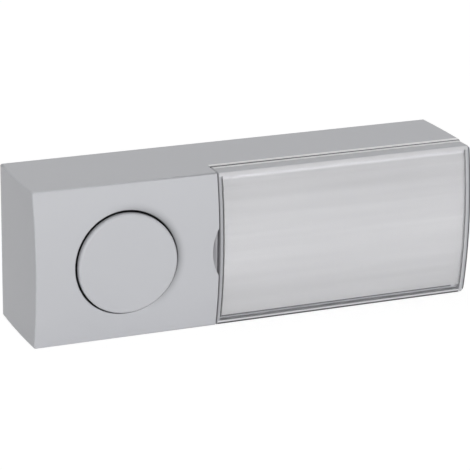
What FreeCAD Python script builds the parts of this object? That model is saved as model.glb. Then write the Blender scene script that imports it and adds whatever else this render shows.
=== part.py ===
"""Illuminated doorbell button: a surface push with a lit name card under a clear cover.

Row frame, millimetres: origin at the centre of the back face, +X to the right along the length,
+Y into the wall and +Z up. Depths are counted from the wall, so a depth d lies at Y = -d.
"""
import FreeCAD, Part
import math
import os
from types import SimpleNamespace

import Sketcher
from FreeCAD import Placement, Rotation, Vector

# Driving sizes in millimetres, degrees where the name says so, and counts
SIZES = {
    "case_length": 88.0,
    "case_height": 30.0,
    "side_depth": 19.0,
    "crown": 1.5,
    "end_bulge": 0.26,
    "edge_round": 0.4,
    "housing_wall": 2.0,
    "seam_from_left": 35.7,
    "seam_gap": 0.2,
    "shoulder_depth": 14.9,
    "shoulder_round": 0.35,
    "cover_back_gap": 0.5,
    "cover_wall": 0.8,
    "cover_round": 0.5,
    "cover_end_proud": 0.25,
    "cover_corner_round": 1.1,
    "snap_height": 0.1,
    "snap_width": 0.8,
    "snap_length": 10.0,
    "snap_from_back": 0.95,
    "neck_gap": 0.15,
    "neck_wall": 1.6,
    "card_gap": 0.1,
    "card_thickness": 0.4,
    "card_side_gap": 0.2,
    "card_edge_gap": 0.55,
    "window_inset": 8.8,
    "window_half_height": 9.0,
    "ledge_width": 1.2,
    "ledge_depth": 0.8,
    "diffuser_gap": 0.1,
    "notch_chord": 9.2,
    "notch_reach": 1.25,
    "notch_depth": 0.9,
    "button_from_left": 17.5,
    "button_hole_radius": 9.95,
    "button_gap": 0.35,
    "button_proud": 1.0,
    "rim_length": 1.1,
    "rim_taper": 0.3,
    "button_wall": 1.3,
    "button_face_wall": 2.0,
    "button_travel": 1.5,
    "flange_reach": 1.2,
    "flange_thickness": 1.0,
    "stop_gap": 0.1,
    "key_width": 3.0,
    "key_gap": 0.2,
    "key_end_gap": 0.3,
    "key_rib_thickness": 1.2,
    "key_rib_start": 0.2,
    "key_rib_tail": 0.8,
    "collar_wall": 1.2,
    "collar_length": 5.9,
    "boss_wall": 1.2,
    "boss_height": 3.2,
    "plunger_radius": 2.0,
    "plunger_neck_radius": 1.2,
    "plunger_neck_tail": 0.5,
    "fit_gap": 0.02,
    "guide_gap": 0.15,
    "spring_mean_radius": 4.2,
    "spring_wire": 0.6,
    "spring_turns": 4.0,
    "spring_sides": 5.0,
    "spring_end_gap": 0.05,
    "frame_half_width": 7.5,
    "frame_half_height": 8.5,
    "frame_wall": 1.2,
    "frame_top": 9.0,
    "frame_roof": 1.4,
    "frame_slot_gap": 0.3,
    "spring_seat_height": 0.8,
    "plate_thickness": 2.0,
    "plate_gap": 0.25,
    "rail_height": 2.0,
    "rail_inset": 0.3,
    "tab_length": 1.2,
    "tab_width": 4.0,
    "tab_thickness": 1.0,
    "tab_offset": 7.0,
    "wall_screw_inset": 3.75,
    "wall_hole_radius": 2.2,
    "cable_from_lamp": 5.0,
    "cable_drop": 5.5,
    "cable_hole_radius": 4.5,
    "grommet_bore_radius": 3.0,
    "grommet_flange_radius": 5.3,
    "grommet_flange_thickness": 1.0,
    "strip_offset": 5.5,
    "strip_width": 2.6,
    "strip_thickness": 0.6,
    "strip_end": 2.2,
    "terminal_from_frame": 7.0,
    "terminal_pad": 7.0,
    "terminal_plate": 6.0,
    "clamp_thickness": 0.8,
    "terminal_screw_radius": 1.5,
    "terminal_head_radius": 2.7,
    "terminal_head_height": 1.8,
    "terminal_screw_reach": 4.6,
    "screw_slot_width": 0.7,
    "screw_slot_depth": 0.8,
    "screw_gap": 0.05,
    "contact_radius": 1.1,
    "contact_height": 0.3,
    "contact_gap": 0.05,
    "bridge_thickness": 0.4,
    "bridge_width": 3.6,
    "bridge_overhang": 1.2,
    "retainer_radius": 2.1,
    "retainer_thickness": 0.5,
    "lamp_lead": 2.9,
    "lamp_depth": 9.5,
    "lamp_length": 31.0,
    "lamp_glass_radius": 3.0,
    "lamp_glass_wall": 0.5,
    "lamp_cap_wall": 0.3,
    "lamp_cap_length": 4.5,
    "lamp_tip_length": 2.2,
    "lamp_tip_radius": 0.7,
    "lamp_filament_radius": 0.2,
    "clip_half_width": 2.6,
    "clip_hole_radius": 1.5,
    "clip_margin": 3.0,
    "foot_length": 3.0,
    "left_screw_inset": 4.4,
    "right_screw_inset": 4.65,
    "housing_screw_offset": 9.0,
    "housing_screw_radius": 1.25,
    "housing_head_radius": 2.1,
    "housing_head_height": 1.3,
    "head_sink": 3.5,
    "screw_boss_radius": 3.0,
    "screw_boss_depth": 8.0,
    "post_radius": 2.0,
    "post_gap": 0.1,
    "housing_screw_reach": 5.0,
    "cut_margin": 4.0,
}


class Size:
    """A number with the sheet expression that gives it, so that sizes are worked out in plain sums."""

    def __init__(self, value, text):
        self.value = float(value)
        self.text = text

    @staticmethod
    def of(number):
        if isinstance(number, Size):
            return number
        return Size(number, "(%r)" % float(number))

    def join(self, other, sign, value):
        return Size(value, "(%s %s %s)" % (self.text, sign, other.text))

    def __add__(self, other):
        other = Size.of(other)
        return self.join(other, "+", self.value + other.value)

    def __sub__(self, other):
        other = Size.of(other)
        return self.join(other, "-", self.value - other.value)

    def __mul__(self, other):
        other = Size.of(other)
        return self.join(other, "*", self.value * other.value)

    def __truediv__(self, other):
        other = Size.of(other)
        return self.join(other, "/", self.value / other.value)

    def __neg__(self):
        return Size(-self.value, "(-1 * %s)" % self.text)

    def root(self):
        return Size(math.sqrt(self.value), "sqrt(%s)" % self.text)


def fill_sheet(document):
    """The driving sizes as a sheet with one alias per size."""
    sheet = document.addObject("Spreadsheet::Sheet", "dims")
    for row, (name, number) in enumerate(SIZES.items(), start=1):
        sheet.set("A%d" % row, name)
        sheet.set("B%d" % row, str(number))
        sheet.setAlias("B%d" % row, name)
    document.recompute()
    return sheet


doc = FreeCAD.newDocument("DoorbellButton")
dims = fill_sheet(doc)
ZERO = Size(0.0, "0")
s = SimpleNamespace(**{name: Size(getattr(dims, name), "dims." + name) for name in SIZES})

# Outer form
half_length = s.case_length / 2
half_height = s.case_height / 2
front_depth = s.side_depth + s.crown
crown_radius = s.case_height * s.case_height / (s.crown * 8) + s.crown / 2
crown_centre = front_depth - crown_radius
end_radius = front_depth * front_depth / (s.end_bulge * 8) + s.end_bulge / 2
end_centre = half_length + s.end_bulge - end_radius

# Cover, card and neck, one inside the other
seam_x = s.seam_from_left - half_length
cover_left = seam_x + s.seam_gap
cover_back = s.shoulder_depth + s.cover_back_gap
cover_inner_left = cover_left + s.cover_wall
cover_right = half_length + s.cover_end_proud
cover_inner_right = half_length - s.cover_wall
cover_inner_height = half_height - s.cover_wall
neck_left = cover_inner_left + s.neck_gap
neck_right = cover_inner_right - s.neck_gap
neck_half_height = cover_inner_height - s.neck_gap
card_front_drop = s.cover_wall + s.card_gap
card_back_drop = card_front_drop + s.card_thickness
neck_drop = card_back_drop + s.card_gap
shelf_inner = s.shoulder_depth - s.neck_wall
window_left = neck_left + s.window_inset
window_right = neck_right - s.window_inset

# Housing inside
inner_half_length = half_length - s.housing_wall
inner_half_height = half_height - s.housing_wall
plate_half_length = inner_half_length - s.plate_gap
plate_half_height = inner_half_height - s.plate_gap

# Button and switch
button_x = s.button_from_left - half_length
button_radius = s.button_hole_radius - s.button_gap
button_inner_radius = button_radius - s.button_wall
collar_depth = front_depth - s.collar_length
flange_front = collar_depth - s.stop_gap
flange_back = flange_front - s.flange_thickness
flange_radius = s.button_hole_radius + s.flange_reach
button_face = front_depth + s.button_proud
button_inside = button_face - s.button_face_wall
strip_seat = s.plate_thickness + s.rail_height
strip_top = strip_seat + s.strip_thickness
fixed_contact_top = strip_top + s.contact_height
moving_contact_back = fixed_contact_top + s.button_travel + s.contact_gap
bridge_back = moving_contact_back + s.contact_height
bridge_front = bridge_back + s.bridge_thickness
retainer_back = bridge_back - s.retainer_thickness
plunger_tip = retainer_back - s.plunger_neck_tail

# Lamp and its clips
clip_inset = s.lamp_tip_length * (
    Size.of(1) - (s.clip_hole_radius - s.fit_gap - s.lamp_tip_radius)
    / (s.lamp_glass_radius + s.lamp_cap_wall - s.lamp_tip_radius)
)
lamp_left = window_left - s.lamp_lead
lamp_x = lamp_left + s.lamp_length / 2
clip_left = lamp_left + s.lamp_tip_length - clip_inset
clip_right = lamp_left + s.lamp_length - s.lamp_tip_length + clip_inset
clip_top = s.lamp_depth + s.clip_margin

# Places on the base plate
wall_screw_x = plate_half_length - s.wall_screw_inset
cable_x = lamp_x + s.cable_from_lamp
terminal_x = button_x + s.frame_half_width + s.terminal_from_frame

# Housing screws
post_top = s.screw_boss_depth - s.post_gap
screw_places = [
    (neck_left + s.left_screw_inset, -s.housing_screw_offset),
    (neck_right - s.right_screw_inset, s.housing_screw_offset),
]
head_seat = front_depth - neck_drop - s.head_sink


def bind(item, sizes):
    """Tie properties of a document object to sheet expressions."""
    for name, size in sizes.items():
        item.setExpression(name, Size.of(size).text)
    return item


def new_body(label, x=None, z=None):
    """An empty body whose own axis stands at x, z."""
    body = doc.addObject("PartDesign::Body", label)
    body.Label = label
    if x is not None:
        bind(body, {"Placement.Base.x": x, "Placement.Base.z": z})
    return body


def new_sketch(body, plane_role, offset=ZERO):
    """A sketch on one of the body's own planes: XZ looks along depth, YZ is a section, XY is a plan."""
    plane = next(item for item in body.Origin.OriginFeatures if item.Role == plane_role)
    sketch = body.newObject("Sketcher::SketchObject", body.Name + "_sketch")
    sketch.AttachmentSupport = [(plane, "")]
    sketch.MapMode = "FlatFace"
    sketch.setExpression("AttachmentOffset.Base.z", offset.text)
    return sketch


def locked_point(geometry, point, place):
    """Two constraints that hold a point at its place, with the expressions that drive them."""
    across = Sketcher.Constraint("DistanceX", -1, 1, geometry, point, place[0].value)
    along = Sketcher.Constraint("DistanceY", -1, 1, geometry, point, place[1].value)
    return [(across, place[0].text), (along, place[1].text)]


def apply_constraints(sketch, entries):
    """Add the constraints and drive those that carry an expression."""
    numbers = sketch.addConstraint([entry[0] for entry in entries])
    for number, entry in zip(numbers, entries):
        if entry[1]:
            sketch.setExpression("Constraints[%d]" % number, entry[1])


def arc_through(start, end, radius, side):
    """The short arc from start to end that bows to the left (side 1) or right (side -1) of its chord."""
    chord = end - start
    sagitta = radius - math.sqrt(radius * radius - chord.Length ** 2 / 4)
    normal = Vector(-chord.y, chord.x, 0).normalize()
    return Part.Arc(start, (start + end) / 2 + normal * sagitta * side, end)


def draw_loop(sketch, corners, arcs=None):
    """A closed outline through corners; arcs gives (radius, side) for the edges that are bowed."""
    arcs = arcs or {}
    corners = [(Size.of(across), Size.of(along)) for across, along in corners]
    points = [Vector(across.value, along.value, 0) for across, along in corners]
    first = sketch.GeometryCount
    ends = []
    entries = []
    for index, start in enumerate(points):
        end = points[(index + 1) % len(points)]
        if index in arcs:
            radius, side = arcs[index]
            edge = sketch.addGeometry(arc_through(start, end, radius.value, side))
            entries.append((Sketcher.Constraint("Radius", edge, radius.value), radius.text))
        else:
            edge = sketch.addGeometry(Part.LineSegment(start, end))
        near = sketch.getPoint(edge, 1).distanceToPoint(start)
        forward = near < sketch.getPoint(edge, 2).distanceToPoint(start)
        ends.append((1, 2) if forward else (2, 1))
    for index, corner in enumerate(corners):
        following = (index + 1) % len(corners)
        join = Sketcher.Constraint(
            "Coincident", first + index, ends[index][1], first + following, ends[following][0]
        )
        entries.append((join, None))
        entries += locked_point(first + index, ends[index][0], corner)
    apply_constraints(sketch, entries)


def draw_box(sketch, left, right, low, high):
    """A rectangle."""
    draw_loop(sketch, [(left, low), (right, low), (right, high), (left, high)])


def draw_circle(sketch, centre, radius):
    """A circle."""
    centre = (Size.of(centre[0]), Size.of(centre[1]))
    middle = Vector(centre[0].value, centre[1].value, 0)
    edge = sketch.addGeometry(Part.Circle(middle, Vector(0, 0, 1), radius.value))
    size = (Sketcher.Constraint("Radius", edge, radius.value), radius.text)
    apply_constraints(sketch, [size] + locked_point(edge, 3, centre))


def pad(body, sketch, length, both_ways=False):
    """Grow the sketch along its normal."""
    feature = body.newObject("PartDesign::Pad", body.Name + "_pad")
    feature.Profile = sketch
    feature.SideType = "Symmetric" if both_ways else "One side"
    bind(feature, {"Length": length})
    return feature


def pocket(body, sketch, length=None, both_ways=False):
    """Cut the sketch along its normal, right through where no length is given."""
    feature = body.newObject("PartDesign::Pocket", body.Name + "_pocket")
    feature.Profile = sketch
    feature.Reversed = not both_ways
    feature.SideType = "Symmetric" if both_ways else "One side"
    if length is None:
        feature.Type = "ThroughAll"
    else:
        bind(feature, {"Length": length})
    return feature


def crown_depth(drop, height):
    """Depth, at a height above the middle, of the front surface sunk by drop."""
    radius = crown_radius - drop
    return crown_centre + (radius * radius - height * height).root()


def trim_to_crown(body, drop, height, start_x, length=None):
    """Cut away all that stands in front of the crowned surface sunk by drop."""
    sketch = new_sketch(body, "YZ_Plane", start_x)
    edge = crown_depth(drop, height)
    far = front_depth + s.button_proud + s.cut_margin
    high = height + s.cut_margin
    draw_loop(
        sketch,
        [(-edge, height), (-edge, -height), (-edge, -high), (-far, -high), (-far, high), (-edge, high)],
        {0: (crown_radius - drop, -1)},
    )
    if length is None:
        return pocket(body, sketch, both_ways=True)
    return pocket(body, sketch, length)


def draw_crown_section(sketch, front_drop, back_drop, height):
    """A section between two concentric crowned surfaces."""
    front = crown_depth(front_drop, height)
    back = crown_depth(back_drop, height)
    draw_loop(
        sketch,
        [(-front, height), (-front, -height), (-back, -height), (-back, height)],
        {0: (crown_radius - front_drop, -1), 2: (crown_radius - back_drop, 1)},
    )


def draw_crowned_room(sketch, start, drop, height):
    """A section from a flat depth up to the crowned surface sunk by drop."""
    edge = crown_depth(drop, height)
    draw_loop(
        sketch,
        [(-edge, height), (-edge, -height), (-start, -height), (-start, height)],
        {0: (crown_radius - drop, -1)},
    )


def round_edges(body, radius, wanted):
    """Round the edges of the last feature that wanted picks by their middle point and bounding box."""
    doc.recompute()
    base = body.Tip
    names = []
    for number, edge in enumerate(base.Shape.Edges, start=1):
        if wanted(edge.CenterOfMass, edge.BoundBox):
            names.append("Edge%d" % number)
    feature = body.newObject("PartDesign::Fillet", body.Name + "_fillet")
    feature.Base = (base, names)
    bind(feature, {"Radius": radius})
    return feature


def draw_plan(sketch):
    """Plan of the case, with both ends slightly bowed along the depth."""
    corners = [
        (-half_length, ZERO),
        (half_length, ZERO),
        (half_length, -front_depth),
        (-half_length, -front_depth),
    ]
    draw_loop(sketch, corners, {1: (end_radius, 1), 3: (end_radius, 1)})


def runs_along_depth(box):
    """Whether an edge with this bounding box is a corner of the case, from back to front."""
    return box.YLength > 2 * max(box.XLength, box.ZLength)


def make_front_housing():
    """Moulded housing: crowned shell, button hole, neck with window, notch, ribs and screw bosses."""
    body = new_body("front_housing")
    plan = new_sketch(body, "XY_Plane")
    draw_plan(plan)
    pad(body, plan, s.case_height, both_ways=True)
    trim_to_crown(body, ZERO, half_height, ZERO)
    round_edges(body, s.edge_round, lambda middle, box: runs_along_depth(box))
    rim_line = neck_half_height.value

    def at_long_front_edge(middle, box):
        return box.YMax < -0.5 * s.side_depth.value and abs(middle.z) > rim_line

    round_edges(body, s.edge_round, at_long_front_edge)

    # Room behind the shoulder, behind the button and inside the neck
    room = new_sketch(body, "XZ_Plane")
    draw_box(room, -inner_half_length, inner_half_length, -inner_half_height, inner_half_height)
    pocket(body, room, shelf_inner)
    button_room = new_sketch(body, "YZ_Plane", -inner_half_length)
    draw_crowned_room(button_room, shelf_inner, s.housing_wall, inner_half_height)
    pocket(body, button_room, seam_x - s.neck_wall + inner_half_length)
    neck_room = new_sketch(body, "YZ_Plane", neck_left + s.neck_wall)
    draw_crowned_room(neck_room, shelf_inner, neck_drop + s.neck_wall, neck_half_height - s.neck_wall)
    pocket(body, neck_room, neck_right - neck_left - s.neck_wall * 2)

    # Collar that guides the button, and bosses for the screws
    collar = new_sketch(body, "XZ_Plane", collar_depth)
    draw_circle(collar, (button_x, ZERO), s.button_hole_radius + s.collar_wall)
    pad(body, collar, front_depth - s.housing_wall - collar_depth)
    hole = new_sketch(body, "XZ_Plane")
    draw_circle(hole, (button_x, ZERO), s.button_hole_radius)
    pocket(body, hole)
    key_ribs = new_sketch(body, "XZ_Plane", flange_back - s.button_travel - s.key_rib_tail)
    near = s.key_width / 2 + s.key_gap
    far = near + s.key_rib_thickness
    low = flange_radius + s.key_rib_start
    high = inner_half_height + s.housing_wall / 2
    for sign in (1, -1):
        draw_box(key_ribs, button_x + near * sign, button_x + far * sign, low, high)
        draw_box(key_ribs, button_x + near * sign, button_x + far * sign, -high, -low)
    rib_front = front_depth - s.housing_wall - s.edge_round
    pad(body, key_ribs, rib_front - flange_back + s.button_travel + s.key_rib_tail)
    bosses = new_sketch(body, "XZ_Plane", s.screw_boss_depth)
    for place in screw_places:
        draw_circle(bosses, place, s.screw_boss_radius)
    pad(body, bosses, front_depth - s.screw_boss_depth)

    # The neck stands inside the cover, with its front sunk below the card
    trim_to_crown(body, neck_drop, half_height, seam_x, half_length + s.cut_margin - seam_x)
    recess = new_sketch(body, "XZ_Plane", s.shoulder_depth)
    far = half_length + s.cut_margin
    high = half_height + s.cut_margin
    draw_box(recess, seam_x, far, -high, high)
    draw_box(recess, neck_left, neck_right, -neck_half_height, neck_half_height)
    pocket(body, recess)
    low_rise = s.edge_round.value

    def on_shoulder_rim(middle, box):
        outside = abs(middle.z) > rim_line or middle.x > neck_right.value
        at_shoulder = abs(middle.y + s.shoulder_depth.value) < low_rise
        return outside and at_shoulder and box.YLength < low_rise

    round_edges(body, s.shoulder_round, on_shoulder_rim)

    # Window with a ledge for the diffuser
    ledge = new_sketch(body, "YZ_Plane", window_left - s.ledge_width)
    edge = s.window_half_height + s.ledge_width
    draw_crown_section(ledge, ZERO, neck_drop + s.ledge_depth, edge)
    pocket(body, ledge, window_right - window_left + s.ledge_width * 2)
    window = new_sketch(body, "XZ_Plane")
    draw_box(window, window_left, window_right, -s.window_half_height, s.window_half_height)
    pocket(body, window)

    # Screw holes and sunk head seats
    holes = new_sketch(body, "XZ_Plane")
    seats = new_sketch(body, "XZ_Plane", head_seat)
    for place in screw_places:
        draw_circle(holes, place, s.housing_screw_radius + s.screw_gap)
        draw_circle(seats, place, s.housing_head_radius + s.screw_gap)
    pocket(body, holes)
    pocket(body, seats)

    # Slots for the base plate's tabs
    slots = new_sketch(body, "YZ_Plane", -inner_half_length - s.tab_length - s.plate_gap)
    half_slot = s.tab_width / 2 + s.plate_gap
    slot_back = (s.plate_thickness - s.tab_thickness) / 2 - s.plate_gap
    slot_front = (s.plate_thickness + s.tab_thickness) / 2 + s.plate_gap
    for middle in (s.tab_offset, -s.tab_offset):
        draw_box(slots, -slot_front, -slot_back, middle - half_slot, middle + half_slot)
    pocket(body, slots, s.tab_length + s.plate_gap * 2)

    # Fingernail notch beside the cover's left edge
    notch = new_sketch(body, "XZ_Plane", front_depth - s.notch_depth)
    half_chord = s.notch_chord / 2
    notch_radius = (half_chord * half_chord + s.notch_reach * s.notch_reach) / (s.notch_reach * 2)
    draw_loop(
        notch,
        [
            (seam_x + s.seam_gap, half_chord),
            (seam_x, half_chord),
            (seam_x, -half_chord),
            (seam_x + s.seam_gap, -half_chord),
        ],
        {1: (notch_radius, -1)},
    )
    pocket(body, notch)
    return body


def make_clear_cover():
    """Clear tray over the card: pane and four walls, with two low ridges that snap over the neck."""
    body = new_body("clear_cover")
    block = new_sketch(body, "XZ_Plane", cover_back)
    draw_box(block, cover_left, cover_right, -half_height, half_height)
    pad(body, block, front_depth - cover_back)
    trim_to_crown(body, ZERO, half_height, ZERO)

    def at_front(box):
        return box.YMax < -0.5 * (cover_back.value + s.side_depth.value)

    def at_left(middle):
        return middle.x < cover_inner_left.value

    round_edges(
        body, s.cover_corner_round, lambda middle, box: runs_along_depth(box) and not at_left(middle)
    )
    round_edges(body, s.cover_round, lambda middle, box: at_front(box) and not at_left(middle))
    room = new_sketch(body, "YZ_Plane", cover_inner_left)
    draw_crowned_room(room, cover_back - s.cut_margin, s.cover_wall, cover_inner_height)
    pocket(body, room, cover_inner_right - cover_inner_left)

    middle_x = (cover_inner_left + cover_inner_right) / 2
    snap_depth = cover_back + s.snap_from_back
    ridges = new_sketch(body, "YZ_Plane", middle_x - s.snap_length / 2)
    for side in (1, -1):
        wall_line = cover_inner_height * side
        draw_loop(
            ridges,
            [
                (-snap_depth + s.snap_width / 2, wall_line),
                (-snap_depth, wall_line - s.snap_height * side),
                (-snap_depth - s.snap_width / 2, wall_line),
                (-snap_depth, wall_line + s.cover_wall * (side / 2)),
            ],
        )
    pad(body, ridges, s.snap_length)
    return body


def make_name_card():
    """Bare card, bent to the crown, that lies on the neck behind the cover's pane."""
    body = new_body("name_card")
    section = new_sketch(body, "YZ_Plane", cover_inner_left + s.card_side_gap)
    draw_crown_section(section, card_front_drop, card_back_drop, cover_inner_height - s.card_edge_gap)
    pad(body, section, cover_inner_right - cover_inner_left - s.card_side_gap * 2)
    return body


def make_light_diffuser():
    """Opal panel: a thin flange on the window's ledge and a plug that fills the window."""
    body = new_body("light_diffuser")
    flange = new_sketch(body, "YZ_Plane", window_left - s.ledge_width + s.diffuser_gap)
    flange_height = s.window_half_height + s.ledge_width - s.diffuser_gap
    draw_crown_section(flange, neck_drop, neck_drop + s.ledge_depth - s.fit_gap, flange_height)
    pad(body, flange, window_right - window_left + s.ledge_width * 2 - s.diffuser_gap * 2)
    plug = new_sketch(body, "YZ_Plane", window_left + s.diffuser_gap)
    plug_height = s.window_half_height - s.diffuser_gap
    draw_crown_section(plug, neck_drop + s.ledge_depth / 2, neck_drop + s.neck_wall, plug_height)
    pad(body, plug, window_right - window_left - s.diffuser_gap * 2)
    return body


def make_button_cap():
    """Round cap whose face follows the crown: skirt, stop flange with two keys, boss for the plunger."""
    body = new_body("button_cap", button_x, ZERO)
    outline = new_sketch(body, "XY_Plane")
    rim_start = button_face - s.rim_length
    top = button_face + s.cut_margin
    top_radius = button_radius - s.rim_taper * (top - rim_start) / s.rim_length
    draw_loop(
        outline,
        [
            (ZERO, -flange_back),
            (button_radius, -flange_back),
            (button_radius, -rim_start),
            (top_radius, -top),
            (ZERO, -top),
        ],
    )
    revolve(body, outline)
    trim_to_crown(body, -s.button_proud, half_height, ZERO)
    inside = new_sketch(body, "XZ_Plane", flange_back)
    draw_circle(inside, (ZERO, ZERO), button_inner_radius)
    pocket(body, inside, button_inside - flange_back)
    flange = new_sketch(body, "XZ_Plane", flange_back)
    draw_circle(flange, (ZERO, ZERO), flange_radius)
    draw_circle(flange, (ZERO, ZERO), button_inner_radius)
    pad(body, flange, s.flange_thickness)
    keys = new_sketch(body, "XZ_Plane", flange_back)
    half_key = s.key_width / 2
    key_root = s.button_hole_radius
    key_end = inner_half_height - s.key_end_gap
    draw_box(keys, -half_key, half_key, key_root, key_end)
    draw_box(keys, -half_key, half_key, -key_end, -key_root)
    pad(body, keys, s.flange_thickness)
    boss = new_sketch(body, "XZ_Plane", button_inside - s.boss_height)
    draw_circle(boss, (ZERO, ZERO), s.plunger_radius + s.fit_gap + s.boss_wall)
    draw_circle(boss, (ZERO, ZERO), s.plunger_radius + s.fit_gap)
    pad(body, boss, s.boss_height + s.button_face_wall / 2)
    return body


def turn(label, profile, x, z):
    """A turned piece along depth: profile points are (radius, depth)."""
    body = new_body(label, x, z)
    sketch = new_sketch(body, "XY_Plane")
    draw_loop(sketch, [(radius, -Size.of(depth)) for radius, depth in profile])
    revolve(body, sketch)
    return body


def turn_along_length(label, profile, side):
    """A turned piece on the lamp's axis: profile points are (radius, distance towards side)."""
    body = new_body(label)
    body.Placement = Placement(Vector(), Rotation(Vector(0, 0, 1), -90 * side))
    bind(body, {"Placement.Base.x": lamp_x, "Placement.Base.y": -s.lamp_depth})
    sketch = new_sketch(body, "XY_Plane")
    draw_loop(sketch, profile)
    revolve(body, sketch)
    return body


def revolve(body, sketch):
    """A full turn about the sketch's upright axis."""
    feature = body.newObject("PartDesign::Revolution", body.Name + "_turn")
    feature.Profile = sketch
    feature.ReferenceAxis = (sketch, ["V_Axis"])
    feature.Angle = 360
    return feature


def make_plunger():
    """Stem pressed into the cap's boss, with a thinner neck for the bridge."""
    top = button_inside - s.fit_gap
    profile = [
        (ZERO, plunger_tip),
        (s.plunger_neck_radius, plunger_tip),
        (s.plunger_neck_radius, bridge_front),
        (s.plunger_radius, bridge_front),
        (s.plunger_radius, top),
        (ZERO, top),
    ]
    return turn("plunger", profile, button_x, ZERO)


def make_bridge_retainer():
    """Push-on washer behind the bridge."""
    inner = s.plunger_neck_radius + s.fit_gap
    profile = [
        (inner, retainer_back),
        (s.retainer_radius, retainer_back),
        (s.retainer_radius, bridge_back),
        (inner, bridge_back),
    ]
    return turn("bridge_retainer", profile, button_x, ZERO)


def make_contact_bridge():
    """Thin strip across both fixed contacts, with rounded ends."""
    body = new_body("contact_bridge", button_x, ZERO)
    sketch = new_sketch(body, "XZ_Plane", bridge_back)
    side = s.bridge_width / 2
    reach = s.strip_offset + s.bridge_overhang / 2
    end_arc = s.bridge_overhang
    end_bow = (side * side + end_arc * end_arc) / (end_arc * 2)
    draw_loop(
        sketch,
        [(-side, -reach), (side, -reach), (side, reach), (-side, reach)],
        {0: (end_bow, -1), 2: (end_bow, -1)},
    )
    draw_circle(sketch, (ZERO, ZERO), s.plunger_neck_radius + s.fit_gap)
    pad(body, sketch, s.bridge_thickness)
    return body


def make_contacts(label, back, front):
    """Two round contact buttons, one in line with each strip, welded flat on what carries them."""
    buttons = []
    for number, sign in enumerate((1, -1), start=1):
        profile = [(ZERO, back), (s.contact_radius, back), (s.contact_radius, front), (ZERO, front)]
        name = "%s_%d" % (label, number)
        buttons.append(turn(name, profile, button_x, s.strip_offset * sign))
    return group(label, buttons)


def group(label, items):
    """Identical pieces that share one node."""
    compound = doc.addObject("Part::Compound", label)
    compound.Label = label
    compound.Links = items
    return compound


def arc_points(start, tangent, end):
    """The arc that leaves start along tangent and ends at end, as its middle point."""
    chord = end - start
    across = tangent.cross(chord).cross(tangent)
    across.normalize()
    radius = chord.Length ** 2 / (2 * chord.dot(across))
    centre = start + across * radius
    middle = (start + end) / 2 - centre
    return centre + middle.normalize() * abs(radius)


def biarc(start, start_tangent, end, end_tangent):
    """Two arcs that join start to end and keep both tangents."""
    chord = end - start
    tangents = start_tangent + end_tangent
    quad = 2 * (1 - start_tangent.dot(end_tangent))
    half = chord.dot(tangents)
    reach = (math.sqrt(half * half + quad * chord.Length ** 2) - half) / quad
    joint = (start + start_tangent * reach + end - end_tangent * reach) / 2
    first = Part.Arc(start, arc_points(start, start_tangent, joint), joint)
    second = Part.Arc(joint, arc_points(end, -end_tangent, joint), end)
    return [first.toShape(), second.toShape()]


def wire_section(centre, tangent):
    """The wire's outline across its run, as an even polygon."""
    across = tangent.cross(Vector(0, 1, 0)).normalize()
    upright = across.cross(tangent)
    count = int(round(s.spring_sides.value))
    radius = s.spring_wire.value / 2
    corners = []
    for number in range(count + 1):
        angle = 2 * math.pi * number / count
        outward = across * math.cos(angle) + upright * math.sin(angle)
        corners.append(centre + outward * radius)
    corners[-1] = corners[0]
    return Part.makePolygon(corners)


def make_return_spring():
    """Wound spring between the switch frame's roof and the inside of the cap, as one tube."""
    low = s.frame_top.value + s.spring_end_gap.value + s.spring_wire.value / 2
    high = button_inside.value - s.spring_end_gap.value - s.spring_wire.value / 2
    radius = s.spring_mean_radius.value
    quarters = int(round(s.spring_turns.value * 4))
    rise = (high - low) / quarters
    slope = rise / (math.pi / 2)
    points = []
    tangents = []
    for step in range(quarters + 1):
        angle = step * math.pi / 2
        points.append(Vector(radius * math.cos(angle), -low - rise * step, radius * math.sin(angle)))
        tangents.append(Vector(-radius * math.sin(angle), -slope, radius * math.cos(angle)).normalize())
    edges = []
    for step in range(quarters):
        edges += biarc(points[step], tangents[step], points[step + 1], tangents[step + 1])
    wire = Part.Wire(edges)
    section = wire_section(points[0], tangents[0])
    tube = wire.makePipeShell([section], True, False)
    print("spring gap between turns", round(4 * rise - s.spring_wire.value, 3), "mm")
    spring = doc.addObject("Part::Feature", "return_spring")
    spring.Label = "return_spring"
    spring.Shape = tube
    bind(spring, {"Placement.Base.x": button_x})
    return spring


def make_switch_frame():
    """Moulded box over the contacts: guide hole, spring seat and slots for the strips."""
    body = new_body("switch_frame", button_x, ZERO)
    outer = new_sketch(body, "XZ_Plane", s.plate_thickness)
    draw_box(outer, -s.frame_half_width, s.frame_half_width, -s.frame_half_height, s.frame_half_height)
    pad(body, outer, s.frame_top - s.plate_thickness)
    room = new_sketch(body, "XZ_Plane", s.plate_thickness)
    wide = s.frame_half_width - s.frame_wall
    high = s.frame_half_height - s.frame_wall
    draw_box(room, -wide, wide, -high, high)
    pocket(body, room, s.frame_top - s.frame_roof - s.plate_thickness)
    seat = new_sketch(body, "XZ_Plane", s.frame_top)
    seat_radius = s.spring_mean_radius - s.spring_wire / 2 - s.guide_gap
    draw_circle(seat, (ZERO, ZERO), seat_radius)
    pad(body, seat, s.spring_seat_height)
    guide = new_sketch(body, "XZ_Plane")
    draw_circle(guide, (ZERO, ZERO), s.plunger_radius + s.guide_gap)
    pocket(body, guide)
    slots = new_sketch(body, "YZ_Plane", wide - s.frame_slot_gap)
    half_slot = s.strip_width / 2 + s.frame_slot_gap
    slot_back = s.plate_thickness - s.frame_slot_gap
    slot_front = strip_top + s.frame_slot_gap
    for sign in (1, -1):
        middle = s.strip_offset * sign
        draw_box(slots, -slot_front, -slot_back, middle - half_slot, middle + half_slot)
    pocket(body, slots, s.frame_wall + s.frame_slot_gap * 2)
    return body


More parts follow.
